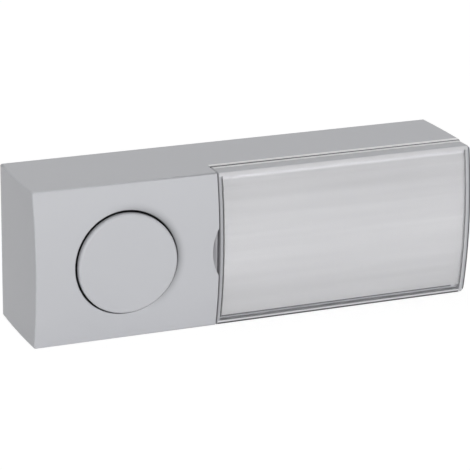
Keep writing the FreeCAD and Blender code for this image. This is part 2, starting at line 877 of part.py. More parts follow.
def make_contact_strip(label, sign, near, far, leaf):
    """Stamped strip from the switch past its terminal to a lamp clip, on the side of sign."""
    body = new_body(label)
    flat = new_sketch(body, "XZ_Plane", strip_seat)
    left = button_x - s.strip_end
    inner = s.strip_offset - s.strip_width / 2
    outer = s.strip_offset + s.strip_width / 2
    pad_left = terminal_x - s.terminal_pad / 2
    pad_right = terminal_x + s.terminal_pad / 2
    pad_inner = s.strip_offset - s.terminal_pad / 2
    pad_outer = s.strip_offset + s.terminal_pad / 2
    corners = [
        (left, inner),
        (pad_left, inner),
        (pad_left, pad_inner),
        (pad_right, pad_inner),
        (pad_right, inner),
        (near, inner),
        (near, -s.clip_half_width),
        (far, -s.clip_half_width),
        (far, outer),
        (pad_right, outer),
        (pad_right, pad_outer),
        (pad_left, pad_outer),
        (pad_left, outer),
        (left, outer),
    ]
    draw_loop(flat, [(across, along * sign) for across, along in corners])
    pad(body, flat, s.strip_thickness)
    upright = new_sketch(body, "XZ_Plane", strip_seat)
    draw_box(upright, leaf, leaf + s.strip_thickness, -s.clip_half_width, s.clip_half_width)
    pad(body, upright, clip_top - strip_seat)
    eye = new_sketch(body, "YZ_Plane", leaf - s.strip_thickness)
    draw_circle(eye, (-s.lamp_depth, ZERO), s.clip_hole_radius)
    pocket(body, eye, s.strip_thickness * 3)
    hole = new_sketch(body, "XZ_Plane")
    draw_circle(hole, (terminal_x, s.strip_offset * sign), s.terminal_screw_radius + s.screw_gap)
    pocket(body, hole)
    return body


def make_clamp_plate(label, sign):
    """Square plate that presses the wire onto the strip."""
    body = new_body(label, terminal_x, s.strip_offset * sign)
    sketch = new_sketch(body, "XZ_Plane", strip_top)
    half = s.terminal_plate / 2
    draw_box(sketch, -half, half, -half, half)
    draw_circle(sketch, (ZERO, ZERO), s.terminal_screw_radius + s.screw_gap)
    pad(body, sketch, s.clamp_thickness)
    return body


def make_screw(label, place, seat, tip, shank_radius, head_radius, head_height):
    """Slotted screw along depth, its head on seat and its tip towards the wall."""
    profile = [
        (ZERO, tip),
        (shank_radius, tip),
        (shank_radius, seat),
        (head_radius, seat),
        (head_radius, seat + head_height),
        (ZERO, seat + head_height),
    ]
    body = turn(label, profile, place[0], place[1])
    slot = new_sketch(body, "XZ_Plane", seat + head_height - s.screw_slot_depth)
    half = s.screw_slot_width / 2
    draw_box(slot, -head_radius - half, head_radius + half, -half, half)
    pocket(body, slot)
    return body


def make_terminal_screws():
    """The two wire clamping screws."""
    seat = strip_top + s.clamp_thickness
    screws = []
    for number, sign in enumerate((1, -1), start=1):
        place = (terminal_x, s.strip_offset * sign)
        screws.append(
            make_screw(
                "terminal_screw_%d" % number,
                place,
                seat,
                seat - s.terminal_screw_reach,
                s.terminal_screw_radius,
                s.terminal_head_radius,
                s.terminal_head_height,
            )
        )
    return group("terminal_screws", screws)


def make_housing_screws():
    """The two screws under the card."""
    screws = []
    for number, place in enumerate(screw_places, start=1):
        screws.append(
            make_screw(
                "housing_screw_%d" % number,
                place,
                head_seat,
                post_top - s.housing_screw_reach,
                s.housing_screw_radius,
                s.housing_head_radius,
                s.housing_head_height,
            )
        )
    return group("housing_screws", screws)


def make_base_plate():
    """Wall plate with rails for the strips, screw posts, wall-screw holes, cable entry and end tabs."""
    body = new_body("base_plate")
    sheet = new_sketch(body, "XZ_Plane")
    draw_box(sheet, -plate_half_length, plate_half_length, -plate_half_height, plate_half_height)
    pad(body, sheet, s.plate_thickness)
    rails = new_sketch(body, "XZ_Plane", s.plate_thickness)
    half_rail = s.strip_width / 2 - s.rail_inset
    for sign, end in ((1, clip_right), (-1, clip_left)):
        middle = s.strip_offset * sign
        draw_box(rails, button_x - s.strip_end, end, middle - half_rail, middle + half_rail)
    pad(body, rails, s.rail_height)
    seats = new_sketch(body, "XZ_Plane", s.plate_thickness)
    half_seat = s.terminal_pad / 2 - s.rail_inset
    seat_left = terminal_x - half_seat
    seat_right = terminal_x + half_seat
    for sign in (1, -1):
        middle = s.strip_offset * sign
        draw_box(seats, seat_left, seat_right, middle - half_seat, middle + half_seat)
    pad(body, seats, s.rail_height)
    posts = new_sketch(body, "XZ_Plane", s.plate_thickness)
    for place in screw_places:
        draw_circle(posts, place, s.post_radius)
    pad(body, posts, post_top - s.plate_thickness)

    tabs = new_sketch(body, "YZ_Plane", -plate_half_length - s.tab_length)
    half_tab = s.tab_width / 2
    tab_back = (s.plate_thickness - s.tab_thickness) / 2
    tab_front = (s.plate_thickness + s.tab_thickness) / 2
    for middle in (s.tab_offset, -s.tab_offset):
        draw_box(tabs, -tab_front, -tab_back, middle - half_tab, middle + half_tab)
    pad(body, tabs, s.tab_length + s.plate_gap)

    through = new_sketch(body, "XZ_Plane")
    for sign in (1, -1):
        draw_circle(through, (wall_screw_x * sign, ZERO), s.wall_hole_radius)
    draw_circle(through, (cable_x, -s.cable_drop), s.cable_hole_radius)
    pocket(body, through)
    deep = new_sketch(body, "XZ_Plane", post_top - s.housing_screw_reach - s.post_gap)
    for place in screw_places:
        draw_circle(deep, place, s.housing_screw_radius + s.screw_gap)
    pocket(body, deep)
    terminal_tip = strip_top + s.clamp_thickness - s.terminal_screw_reach
    pilots = new_sketch(body, "XZ_Plane", terminal_tip - s.post_gap)
    for sign in (1, -1):
        draw_circle(pilots, (terminal_x, s.strip_offset * sign), s.terminal_screw_radius + s.screw_gap)
    pocket(body, pilots)
    return body


def make_cable_grommet():
    """Rubber grommet: a sleeve in the plate with one flange on its inner side."""
    outer = s.cable_hole_radius - s.fit_gap
    flange_top = s.plate_thickness + s.grommet_flange_thickness
    profile = [
        (s.grommet_bore_radius, ZERO),
        (outer, ZERO),
        (outer, s.plate_thickness),
        (s.grommet_flange_radius, s.plate_thickness),
        (s.grommet_flange_radius, flange_top),
        (s.grommet_bore_radius, flange_top),
    ]
    return turn("cable_grommet", profile, cable_x, -s.cable_drop)


def make_lamp():
    """Tubular lamp: glass, a pointed cap at each end and the filament."""
    cap_bore = s.lamp_glass_radius + s.fit_gap
    cap_radius = cap_bore + s.lamp_cap_wall
    tip = s.lamp_length / 2
    cap_end = tip - s.lamp_tip_length
    cap_start = cap_end - s.lamp_cap_length
    floor = cap_end - s.lamp_cap_wall
    glass_end = floor - s.fit_gap
    cap = [
        (cap_bore, cap_start),
        (cap_radius, cap_start),
        (cap_radius, cap_end),
        (s.lamp_tip_radius, tip),
        (ZERO, tip),
        (ZERO, floor),
        (cap_bore, floor),
    ]
    glass_bore = s.lamp_glass_radius - s.lamp_glass_wall
    glass = [
        (glass_bore, -glass_end),
        (s.lamp_glass_radius, -glass_end),
        (s.lamp_glass_radius, glass_end),
        (glass_bore, glass_end),
    ]
    filament = [
        (ZERO, -glass_end),
        (s.lamp_filament_radius, -glass_end),
        (s.lamp_filament_radius, glass_end),
        (ZERO, glass_end),
    ]
    return [
        turn_along_length("lamp_glass", glass, 1),
        turn_along_length("lamp_cap_left", cap, -1),
        turn_along_length("lamp_cap_right", cap, 1),
        turn_along_length("lamp_filament", filament, 1),
    ]


def check_features(item):
    """Every pad must add material and every pocket must take some away."""
    volume = 0.0
    for feature in item.Group:
        if not feature.isDerivedFrom("PartDesign::Feature"):
            continue
        change = feature.Shape.Volume - volume
        volume = feature.Shape.Volume
        wrong = (feature.TypeId == "PartDesign::Pad" and change <= 0) or (
            feature.TypeId == "PartDesign::Pocket" and change >= 0
        )
        if wrong:
            raise RuntimeError("%s changed the volume by %.3f" % (feature.Name, change))


def check_and_export(items):
    """Stop at anything that failed, then write each piece to its own file."""
    doc.recompute()
    for item in doc.Objects:
        if "Invalid" in item.State or "Error" in item.State:
            raise RuntimeError("%s is in state %s" % (item.Name, item.State))
        if item.TypeId == "PartDesign::Body":
            check_features(item)
    os.makedirs("parts", exist_ok=True)
    for item in items:
        shape = item.Shape
        if shape.isNull() or not shape.isValid() or not shape.Solids:
            raise RuntimeError("%s has no valid solid" % item.Label)
        shape.exportStep("parts/%s.step" % item.Label)
        print("%-22s %d solid(s) %9.2f mm3" % (item.Label, len(shape.Solids), shape.Volume))


nodes = [
    make_front_housing(),
    make_base_plate(),
    make_clear_cover(),
    make_name_card(),
    make_light_diffuser(),
    make_button_cap(),
    make_plunger(),
    make_return_spring(),
    make_switch_frame(),
    make_contact_bridge(),
    make_contacts("bridge_contacts", moving_contact_back, bridge_back),
    make_bridge_retainer(),
    make_contact_strip("contact_strip_upper", 1, clip_right, clip_right + s.foot_length, clip_right),
    make_contact_strip(
        "contact_strip_lower", -1, clip_left - s.foot_length, clip_left, clip_left - s.strip_thickness
    ),
    make_contacts("fixed_contacts", strip_top, fixed_contact_top),
    make_clamp_plate("clamp_plate_upper", 1),
    make_clamp_plate("clamp_plate_lower", -1),
    make_terminal_screws(),
    make_housing_screws(),
    make_cable_grommet(),
]
nodes += make_lamp()
check_and_export(nodes)
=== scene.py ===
"""Dressed scene of the illuminated doorbell button: a long surface push with a lit card under a clear cover.

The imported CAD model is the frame. The shells that show are smoothed copies or new bmesh pieces, and every
node that stays takes a procedural finish. Lengths are metres in the row frame: +X to the right along the
length, +Y into the wall and +Z up. A depth counts from the wall towards the front, so it lies at -Y.
"""
import logging
import math
from dataclasses import dataclass
from enum import Enum
from typing import Iterable, Mapping, Optional, Sequence, Union

import bmesh
import bpy
from mathutils import Matrix, Vector


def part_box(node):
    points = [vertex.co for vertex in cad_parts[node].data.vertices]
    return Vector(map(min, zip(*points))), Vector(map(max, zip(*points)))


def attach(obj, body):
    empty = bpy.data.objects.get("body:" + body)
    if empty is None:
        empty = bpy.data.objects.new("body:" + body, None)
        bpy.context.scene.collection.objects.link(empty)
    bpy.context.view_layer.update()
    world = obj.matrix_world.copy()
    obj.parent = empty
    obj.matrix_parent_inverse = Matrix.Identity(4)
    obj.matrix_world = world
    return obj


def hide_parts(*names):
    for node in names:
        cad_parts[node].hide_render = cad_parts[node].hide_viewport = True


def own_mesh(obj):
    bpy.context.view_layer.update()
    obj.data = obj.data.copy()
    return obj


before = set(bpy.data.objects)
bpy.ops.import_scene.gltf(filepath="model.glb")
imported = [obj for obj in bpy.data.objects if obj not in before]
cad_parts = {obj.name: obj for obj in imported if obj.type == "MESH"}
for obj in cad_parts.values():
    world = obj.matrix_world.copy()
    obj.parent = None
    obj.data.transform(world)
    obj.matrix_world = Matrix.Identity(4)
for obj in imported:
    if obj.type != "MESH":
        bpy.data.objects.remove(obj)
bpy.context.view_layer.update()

logging.basicConfig(level=logging.INFO, format="%(message)s")
log = logging.getLogger("doorbell")

MM = 0.001
Triple = tuple[float, float, float]
Colour = Triple
Span = tuple[float, float]
Socket = bpy.types.NodeSocket
Source = Union[Socket, float, Triple]


class Body(Enum):
    """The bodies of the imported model."""

    HOUSING = "root"
    BUTTON = "button"
    COVER = "cover"


class Slot(Enum):
    """The record's material slots."""

    HOUSING_PAINT = "housing_paint"
    BUTTON_PAINT = "button_paint"
    CLEAR_PLASTIC = "clear_plastic"
    CARD = "card"
    OPAL_PLASTIC = "opal_plastic"
    PLATE_PLASTIC = "plate_plastic"
    FRAME_PLASTIC = "frame_plastic"
    SPRING_STEEL = "spring_steel"
    CONTACT_BRASS = "contact_brass"
    CONTACT_SILVER = "contact_silver"
    PLATED_STEEL = "plated_steel"
    GROMMET_RUBBER = "grommet_rubber"
    LAMP_GLASS = "lamp_glass"
    LAMP_CAP_METAL = "lamp_cap_metal"
    FILAMENT_METAL = "filament_metal"


class Kind(Enum):
    """The kinds of value that a node group's socket carries."""

    COLOUR = "NodeSocketColor"
    VALUE = "NodeSocketFloat"
    VECTOR = "NodeSocketVector"


def linear(display: float) -> float:
    """Scene value of a display value, by the sRGB curve.

    Args:
        display: The display value, from 0 to 255.

    Returns:
        The scene value, from 0 to 1.
    """
    share = display / 255.0
    if share <= 0.04045:
        return share / 12.92
    return ((share + 0.055) / 1.055) ** 2.4


def paint(red: float, green: float, blue: float) -> Colour:
    """Scene colour of three display values from 0 to 255."""
    return (linear(red), linear(green), linear(blue))


def span(low: float, high: float) -> Span:
    """The stretch between two places that are given in millimetres."""
    return (low * MM, high * MM)


def middle_x(node: str) -> float:
    """The middle of a CAD node along the length."""
    low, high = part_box(node)
    return (low.x + high.x) / 2


@dataclass(frozen=True)
class TrueCylinder:
    """The smooth cylinder that a faceted face stands for."""

    centre: Vector
    axis: Vector
    tolerance: float = 0.04 * MM
    lean: float = math.radians(4.0)

    def radial(self, point: Vector) -> Vector:
        """The arm from the axis to a point, square to the axis."""
        arm = point - self.centre
        return arm - self.axis * arm.dot(self.axis)

    def holds(self, polygon: bpy.types.MeshPolygon, corners: Sequence[Vector]) -> bool:
        """Whether a polygon lies on a cylinder about this axis.

        Args:
            polygon: The polygon to test.
            corners: Its corner points.

        Returns:
            True where its corners share one radius and it faces along the arm.
        """
        arms = [self.radial(corner).length for corner in corners]
        if max(arms) - min(arms) > self.tolerance:
            return False
        middle = self.radial(Vector(polygon.center)).normalized()
        facing = abs(middle.dot(Vector(polygon.normal)))
        return facing > math.cos(self.lean)

    def normal(self, point: Vector, facing: Vector) -> Vector:
        """The cylinder's own normal at a point, on the side that facing shows."""
        arm = self.radial(point).normalized()
        return arm if arm.dot(facing) > 0 else -arm


@dataclass(frozen=True)
class CaseForm:
    """Sizes that the case's shells share."""

    height: float = 30.0 * MM
    half_length: float = 44.0 * MM
    side_depth: float = 19.0 * MM
    crown: float = 1.5 * MM
    end_bulge: float = 0.26 * MM

    @property
    def front(self) -> float:
        """Depth of the crown's top."""
        return self.side_depth + self.crown

    @property
    def crown_radius(self) -> float:
        """Radius of the crowned front."""
        return self.height**2 / (8 * self.crown) + self.crown / 2

    def crown_depth(self, height: float, drop: float = 0.0) -> float:
        """Depth of the crowned front, sunk by drop, at a height.

        Args:
            height: Height above the middle line.
            drop: How far the surface is sunk.

        Returns:
            The depth from the wall.
        """
        radius = self.crown_radius - drop
        return self.front - self.crown_radius + math.sqrt(radius**2 - height**2)

    def true_faces(self) -> list[TrueCylinder]:
        """The crown and the two bowed ends as smooth cylinders.

        Returns:
            The three cylinders.
        """
        end_radius = self.front**2 / (8 * self.end_bulge) + self.end_bulge / 2
        reach = self.half_length + self.end_bulge - end_radius
        middle = -self.front / 2
        return [
            TrueCylinder(Vector((0, self.crown_radius - self.front, 0)), Vector((1, 0, 0))),
            TrueCylinder(Vector((reach, middle, 0)), Vector((0, 0, 1))),
            TrueCylinder(Vector((-reach, middle, 0)), Vector((0, 0, 1))),
        ]


CASE = CaseForm()


@dataclass(frozen=True)
class NodeDesk:
    """Lays out shader nodes in one tree. Each input is fed by a socket or with a plain value."""

    tree: bpy.types.NodeTree

    def add(self, kind: str, **settings: object) -> bpy.types.Node:
        """Adds a shader node.

        Args:
            kind: Its type, without the words that all shader nodes start with.
            settings: Its properties.

        Returns:
            The node.
        """
        node = self.tree.nodes.new("ShaderNode" + kind)
        for name, value in settings.items():
            setattr(node, name, value)
        return node

    def feed(self, socket: Socket, source: Source) -> None:
        """Feeds an input.

        Args:
            socket: The input.
            source: The socket that it is linked to, or its plain value.
        """
        if isinstance(source, Socket):
            self.tree.links.new(source, socket)
        else:
            socket.default_value = source

    def math(self, operation: str, *sources: Source, clamp: bool = False) -> Socket:
        """Adds a math node.

        Args:
            operation: What it does.
            sources: What feeds its inputs, in order.
            clamp: Whether the result is kept between 0 and 1.

        Returns:
            The result's socket.
        """
        node = self.add("Math", operation=operation, use_clamp=clamp)
        for socket, source in zip(node.inputs, sources):
            self.feed(socket, source)
        return node.outputs[0]

    def step(self, value: Source, start: Source, width: Source) -> Socket:
        """A soft step that rises from 0 at start to 1 at start plus width."""
        return self.math("DIVIDE", self.math("SUBTRACT", value, start), width, clamp=True)

    def vector(self, operation: str, first: Source, second: Source) -> Socket:
        """Adds a vector math node.

        Args:
            operation: What it does.
            first: The vector or colour that it works on.
            second: The other vector, or the factor of a SCALE.

        Returns:
            The result's socket.
        """
        node = self.add("VectorMath", operation=operation)
        self.feed(node.inputs[0], first)
        self.feed(node.inputs["Scale" if operation == "SCALE" else 1], second)
        return node.outputs[0]

    def place(self) -> Socket:
        """The place on the object."""
        return self.add("TexCoord").outputs["Object"]

    def parts(self, vector: Source) -> list[Socket]:
        """Splits a vector.

        Args:
            vector: What is split.

        Returns:
            The sockets of its X, Y and Z.
        """
        node = self.add("SeparateXYZ")
        self.feed(node.inputs[0], vector)
        return list(node.outputs)

    def noise(self, place: Source, scale: Source, detail: float) -> Socket:
        """Adds a noise texture.

        Args:
            place: Where it is read.
            scale: How fine it is.
            detail: How many layers of finer noise lie on it.

        Returns:
            The socket of its value.
        """
        node = self.add("TexNoise")
        node.inputs["Detail"].default_value = detail
        self.feed(node.inputs["Vector"], place)
        self.feed(node.inputs["Scale"], scale)
        return node.outputs["Fac"]

    def lay_over(self, under: Socket, mask: Socket, colour: Colour) -> Socket:
        """Lays a colour over another where a mask says so.

        Args:
            under: Socket of the colour below.
            mask: Socket of the mask, 1 where the new colour shows.
            colour: The new colour.

        Returns:
            The mixed colour's socket.
        """
        mix = self.add("Mix", data_type="RGBA")
        below, above = [socket for socket in mix.inputs if socket.type == "RGBA"]
        above.default_value = (*colour, 1.0)
        self.feed(mix.inputs["Factor"], mask)
        self.feed(below, under)
        return next(socket for socket in mix.outputs if socket.type == "RGBA")


class SharedGroup:
    """A node group that several finishes share, built the first time it is asked for."""

    NAME: str
    INPUTS: dict[str, Kind]
    OUTPUTS: dict[str, Kind]

    @classmethod
    def tree(cls) -> bpy.types.NodeTree:
        """The group's node tree.

        Returns:
            The tree, with its sockets and its own nodes.
        """
        existing = bpy.data.node_groups.get(cls.NAME)
        if existing:
            return existing
        group = bpy.data.node_groups.new(cls.NAME, "ShaderNodeTree")
        for way, sockets in (("INPUT", cls.INPUTS), ("OUTPUT", cls.OUTPUTS)):
            for name, kind in sockets.items():
                group.interface.new_socket(name, in_out=way, socket_type=kind.value)
        given = group.nodes.new("NodeGroupInput")
        result = group.nodes.new("NodeGroupOutput")
        for name, socket in cls.wire(NodeDesk(group), given.outputs).items():
            group.links.new(socket, result.inputs[name])
        return group

    @classmethod
    def wire(cls, desk: NodeDesk, given: Mapping[str, Socket]) -> dict[str, Socket]:
        """Adds the group's own nodes.

        Args:
            desk: Desk on the group's tree.
            given: Sockets of the group's inputs.

        Returns:
            The socket that feeds each output.
        """
        raise NotImplementedError

    @classmethod
    def put(cls, desk: NodeDesk, values: Mapping[str, Source]) -> Mapping[str, Socket]:
        """Places the group in a material.

        Args:
            desk: Desk on the material's tree.
            values: The material's own value for each input.

        Returns:
            The sockets of its outputs.
        """
        node = desk.add("Group", node_tree=cls.tree())
        for name, value in values.items():
            desk.feed(node.inputs[name], value)
        return node.outputs


class GrainGroup(SharedGroup):
    """A fine moulded or drawn texture with a slow drift of shade."""

    NAME = "surface_grain"
    VALUES = ("Roughness", "Shade Drift", "Drift Scale", "Grain Scale", "Grain Roughness")
    INPUTS = {"Color": Kind.COLOUR, "Stretch": Kind.VECTOR, **dict.fromkeys(VALUES, Kind.VALUE)}
    OUTPUTS = {"Color": Kind.COLOUR, "Roughness": Kind.VALUE, "Height": Kind.VALUE}
    DRIFT_DETAIL = 3.0
    GRAIN_DETAIL = 4.0
    NOISE_MIDDLE = 0.5

    @classmethod
    def wire(cls, desk: NodeDesk, given: Mapping[str, Socket]) -> dict[str, Socket]:
        """Adds the drift and the grain.

        Args:
            desk: Desk on the group's tree.
            given: Sockets of the group's inputs.

        Returns:
            The sockets of the colour, the roughness and the grain's height.
        """
        place = desk.vector("MULTIPLY", desk.place(), given["Stretch"])
        drift = desk.noise(place, given["Drift Scale"], cls.DRIFT_DETAIL)
        grain = desk.noise(place, given["Grain Scale"], cls.GRAIN_DETAIL)
        sway = desk.math("SUBTRACT", drift, cls.NOISE_MIDDLE)
        shade = desk.math("MULTIPLY_ADD", sway, given["Shade Drift"], 1.0)
        uneven = desk.math("SUBTRACT", grain, cls.NOISE_MIDDLE)
        rough = desk.math("MULTIPLY_ADD", uneven, given["Grain Roughness"], given["Roughness"], clamp=True)
        return {"Color": desk.vector("SCALE", given["Color"], shade), "Roughness": rough, "Height": grain}


class BoxGroup(SharedGroup):
    """The mask of a box-shaped place on the object."""

    NAME = "box_place"
    INPUTS = {"Low": Kind.VECTOR, "High": Kind.VECTOR, "Sharpness": Kind.VALUE}
    OUTPUTS = {"Mask": Kind.VALUE}

    @classmethod
    def wire(cls, desk: NodeDesk, given: Mapping[str, Socket]) -> dict[str, Socket]:
        """Multiplies the soft steps at the box's six sides.

        Args:
            desk: Desk on the group's tree.
            given: Sockets of the group's inputs.

        Returns:
            The socket of the mask, 1 inside the box.
        """
        place = desk.place()
        mask: Source = 1.0
        for larger, smaller in ((place, given["Low"]), (given["High"], place)):
            beyond = desk.vector("SUBTRACT", larger, smaller)
            steep = desk.vector("SCALE", beyond, given["Sharpness"])
            for part in desk.parts(steep):
                inside = desk.math("MULTIPLY", part, 1.0, clamp=True)
                mask = desk.math("MULTIPLY", mask, inside)
        return {"Mask": mask}


class GapGroup(SharedGroup):
    """Masks for painted shade: the narrow ring between the button and its hole, and the soft painted shadow
    that lies beside it.
    """

    NAME = "button_gap"
    RING = ("Centre X", "Inner Radius", "Outer Radius", "Front Depth", "Crown Radius")
    INPUTS = dict.fromkeys((*RING, "Softness", "Shade Reach"), Kind.VALUE)
    OUTPUTS = {"Mask": Kind.VALUE, "Shade": Kind.VALUE}
    FRONT_BAND = 0.5 * MM
    SHADE_TILT = 0.4

    @classmethod
    def wire(cls, desk: NodeDesk, given: Mapping[str, Socket]) -> dict[str, Socket]:
        """Adds both masks.

        Args:
            desk: Desk on the group's tree.
            given: Sockets of the group's inputs.

        Returns:
            The sockets of Mask, 1 in the ring below the crowned front where the gap's shade is painted, and
            Shade, the painted shadow, which fades to its right.
        """
        x, y, z = desk.parts(desk.place())
        across = desk.math("SUBTRACT", x, given["Centre X"])
        height = desk.math("MULTIPLY", z, z)
        radius = desk.math("SQRT", desk.math("ADD", desk.math("MULTIPLY", across, across), height))
        drop = desk.math("DIVIDE", height, desk.math("MULTIPLY", given["Crown Radius"], 2.0))
        front = desk.math("SUBTRACT", given["Front Depth"], drop)
        depth = desk.math("MULTIPLY", y, -1.0)
        soft = given["Softness"]
        outside = desk.step(radius, given["Inner Radius"], soft)
        inside = desk.step(given["Outer Radius"], radius, soft)
        below = desk.step(front, depth, soft)
        mask = desk.math("MULTIPLY", desk.math("MULTIPLY", outside, inside), below)
        # Shade is a painted shadow: a soft darkening right of the button that stands in for its contact
        # shadow.
        reach = given["Shade Reach"]
        near = desk.step(desk.math("ADD", given["Outer Radius"], reach), radius, reach)
        lean = desk.math("ADD", across, desk.math("MULTIPLY", z, cls.SHADE_TILT))
        side = desk.step(lean, 0.0, radius)
        fade = desk.math("MULTIPLY", desk.math("MULTIPLY", near, near), side)
        is_front = desk.step(depth, desk.math("SUBTRACT", front, cls.FRONT_BAND), soft)
        return {"Mask": mask, "Shade": desk.math("MULTIPLY", fade, is_front)}


@dataclass(frozen=True)
class Patch:
    """A box-shaped place where a finish has another colour, each one here a painted highlight or painted
    shade. Depths count from the wall.
    """

    name: str
    across: Span
    depth: Span
    height: Span
    colour: Colour
    softness: float = 0.05 * MM

    def mask(self, desk: NodeDesk) -> Socket:
        """Adds the patch's mask to a material.

        Args:
            desk: Desk on the material's tree.

        Returns:
            The mask's socket.
        """
        mask = BoxGroup.put(desk, {
            "Low": (self.across[0], -self.depth[1], self.height[0]),
            "High": (self.across[1], -self.depth[0], self.height[1]),
            "Sharpness": 1.0 / self.softness,
        })["Mask"]
        mask.node.label = self.name
        return mask


@dataclass(frozen=True)
class Finish:
    """A procedural finish: one Principled BSDF fed by the shared grain."""

    slot: Slot
    colour: Colour
    roughness: float
    shade_drift: float = 0.04
    drift_size: float = 20.0 * MM
    grain_size: float = 0.4 * MM
    grain_depth: float = 0.002 * MM
    grain_strength: float = 0.6
    grain_roughness: float = 0.1
    stretch: Triple = (1.0, 1.0, 1.0)
    metallic: float = 0.0
    transmission: float = 0.0
    ior: float = 1.46
    subsurface: float = 0.0
    subsurface_depth: float = 1.0 * MM
    suffix: str = "_finish"
    patches: tuple[Patch, ...] = ()

    def material(self) -> bpy.types.Material:
        """The finish as a material, built the first time it is asked for.

        Returns:
            The material, named after its slot.
        """
        name = self.slot.value + self.suffix
        existing = bpy.data.materials.get(name)
        if existing:
            return existing
        item = bpy.data.materials.new(name)
        item.use_nodes = True
        desk = NodeDesk(item.node_tree)
        grain = self.put_grain(desk)
        colour = self.base_colour(desk, grain["Color"])
        for patch in self.patches:
            colour = desk.lay_over(colour, patch.mask(desk), patch.colour)
        bump = desk.add("Bump")
        bump.inputs["Strength"].default_value = self.grain_strength
        bump.inputs["Distance"].default_value = self.grain_depth
        desk.feed(bump.inputs["Height"], grain["Height"])
        shader = item.node_tree.nodes["Principled BSDF"]
        desk.feed(shader.inputs["Base Color"], colour)
        desk.feed(shader.inputs["Roughness"], grain["Roughness"])
        desk.feed(shader.inputs["Normal"], bump.outputs["Normal"])
        shader.inputs["Metallic"].default_value = self.metallic
        shader.inputs["Transmission Weight"].default_value = self.transmission
        shader.inputs["IOR"].default_value = self.ior
        shader.inputs["Subsurface Weight"].default_value = self.subsurface
        shader.inputs["Subsurface Scale"].default_value = self.subsurface_depth
        return item

    def put_grain(self, desk: NodeDesk) -> Mapping[str, Socket]:
        """Places the shared grain with this finish's own values.

        Args:
            desk: Desk on the material's tree.

        Returns:
            The sockets of its outputs.
        """
        return GrainGroup.put(desk, {
            "Color": (*self.colour, 1.0),
            "Roughness": self.roughness,
            "Shade Drift": self.shade_drift,
            "Drift Scale": 1.0 / self.drift_size,
            "Grain Scale": 1.0 / self.grain_size,
            "Grain Roughness": self.grain_roughness,
            "Stretch": self.stretch,
        })

    def base_colour(self, desk: NodeDesk, grained: Socket) -> Socket:
        """The colour over the whole piece, before the patches.

        Args:
            desk: Desk on the material's tree.
            grained: Socket of the grain's colour.

        Returns:
            The colour's socket.
        """
        return grained


@dataclass(frozen=True)
class MetalFinish(Finish):
    """Bare metal with a fine drawn grain."""

    shade_drift: float = 0.12
    drift_size: float = 3.0 * MM
    grain_size: float = 0.08 * MM
    metallic: float = 1.0


@dataclass(frozen=True)
class PaintFinish(Finish):
    """Silver-grey paint on the front, with painted shade: near black in the button's gap and a soft painted
    shadow beside it.
    """

    # Painted shade: near black in the gap round the button, where its shadow falls.
    gap_shade: Colour = paint(20, 20, 22)
    # Painted shadow: the soft darker band to the right of the button.
    shaded: Colour = paint(142, 143, 146)
    shade_reach: float = 1.7 * MM
    centre_x: float = -26.5 * MM
    inner_radius: float = 9.45 * MM
    outer_radius: float = 10.08 * MM
    # How far below the front the gap's painted shade starts.
    gap_shade_start: float = 0.12 * MM
    softness: float = 0.05 * MM

    def base_colour(self, desk: NodeDesk, grained: Socket) -> Socket:
        """The paint, with painted shade near black in the gap round the button and a painted shadow beside
        it.

        Args:
            desk: Desk on the material's tree.
            grained: Socket of the grain's colour.

        Returns:
            The colour's socket.
        """
        gap = GapGroup.put(desk, {
            "Centre X": self.centre_x,
            "Inner Radius": self.inner_radius,
            "Outer Radius": self.outer_radius,
            "Front Depth": CASE.front - self.gap_shade_start,
            "Crown Radius": CASE.crown_radius,
            "Softness": self.softness,
            "Shade Reach": self.shade_reach,
        })
        painted = desk.lay_over(grained, gap["Shade"], self.shaded)
        return desk.lay_over(painted, gap["Mask"], self.gap_shade)


@dataclass(frozen=True)
class CardFinish(Finish):
    """Smooth card with long soft streaks, a painted sheen, and painted light: palest along its middle,
    darker towards its long edges.
    """

    # Painted light: the card is palest within this height of its middle line and darker towards its edges.
    pale_half_width: float = 11.0 * MM
    edge_shade: float = 0.86

    def base_colour(self, desk: NodeDesk, grained: Socket) -> Socket:
        """The card's colour with painted light, palest at its middle line and shaded softly to its long
        edges.

        Args:
            desk: Desk on the material's tree.
            grained: Socket of the grain's colour.

        Returns:
            The colour's socket.
        """
        height = desk.parts(desk.place())[2]
        fade = desk.add("MapRange", interpolation_type="SMOOTHSTEP")
        desk.feed(fade.inputs["Value"], desk.math("ABSOLUTE", height))
        fade.inputs["From Min"].default_value = 0.0
        fade.inputs["From Max"].default_value = self.pale_half_width
        fade.inputs["To Min"].default_value = 1.0
        fade.inputs["To Max"].default_value = self.edge_shade
        return desk.vector("SCALE", grained, fade.outputs["Result"])


SILVER = paint(194, 195, 199)
# Colours of painted shade (SHADOW) and painted highlight (WHITE) for the patches below.
SHADOW = paint(90, 90, 94)
WHITE = paint(255, 255, 255)

# Millimetres: just past the case on each side, and just behind the cover's walls
PAST_RIGHT = 45.0
PAST_FRONT = 21.0
PAST_BOTTOM = -15.1
PAST_TOP = 15.1
COVER_BACK = 15.0
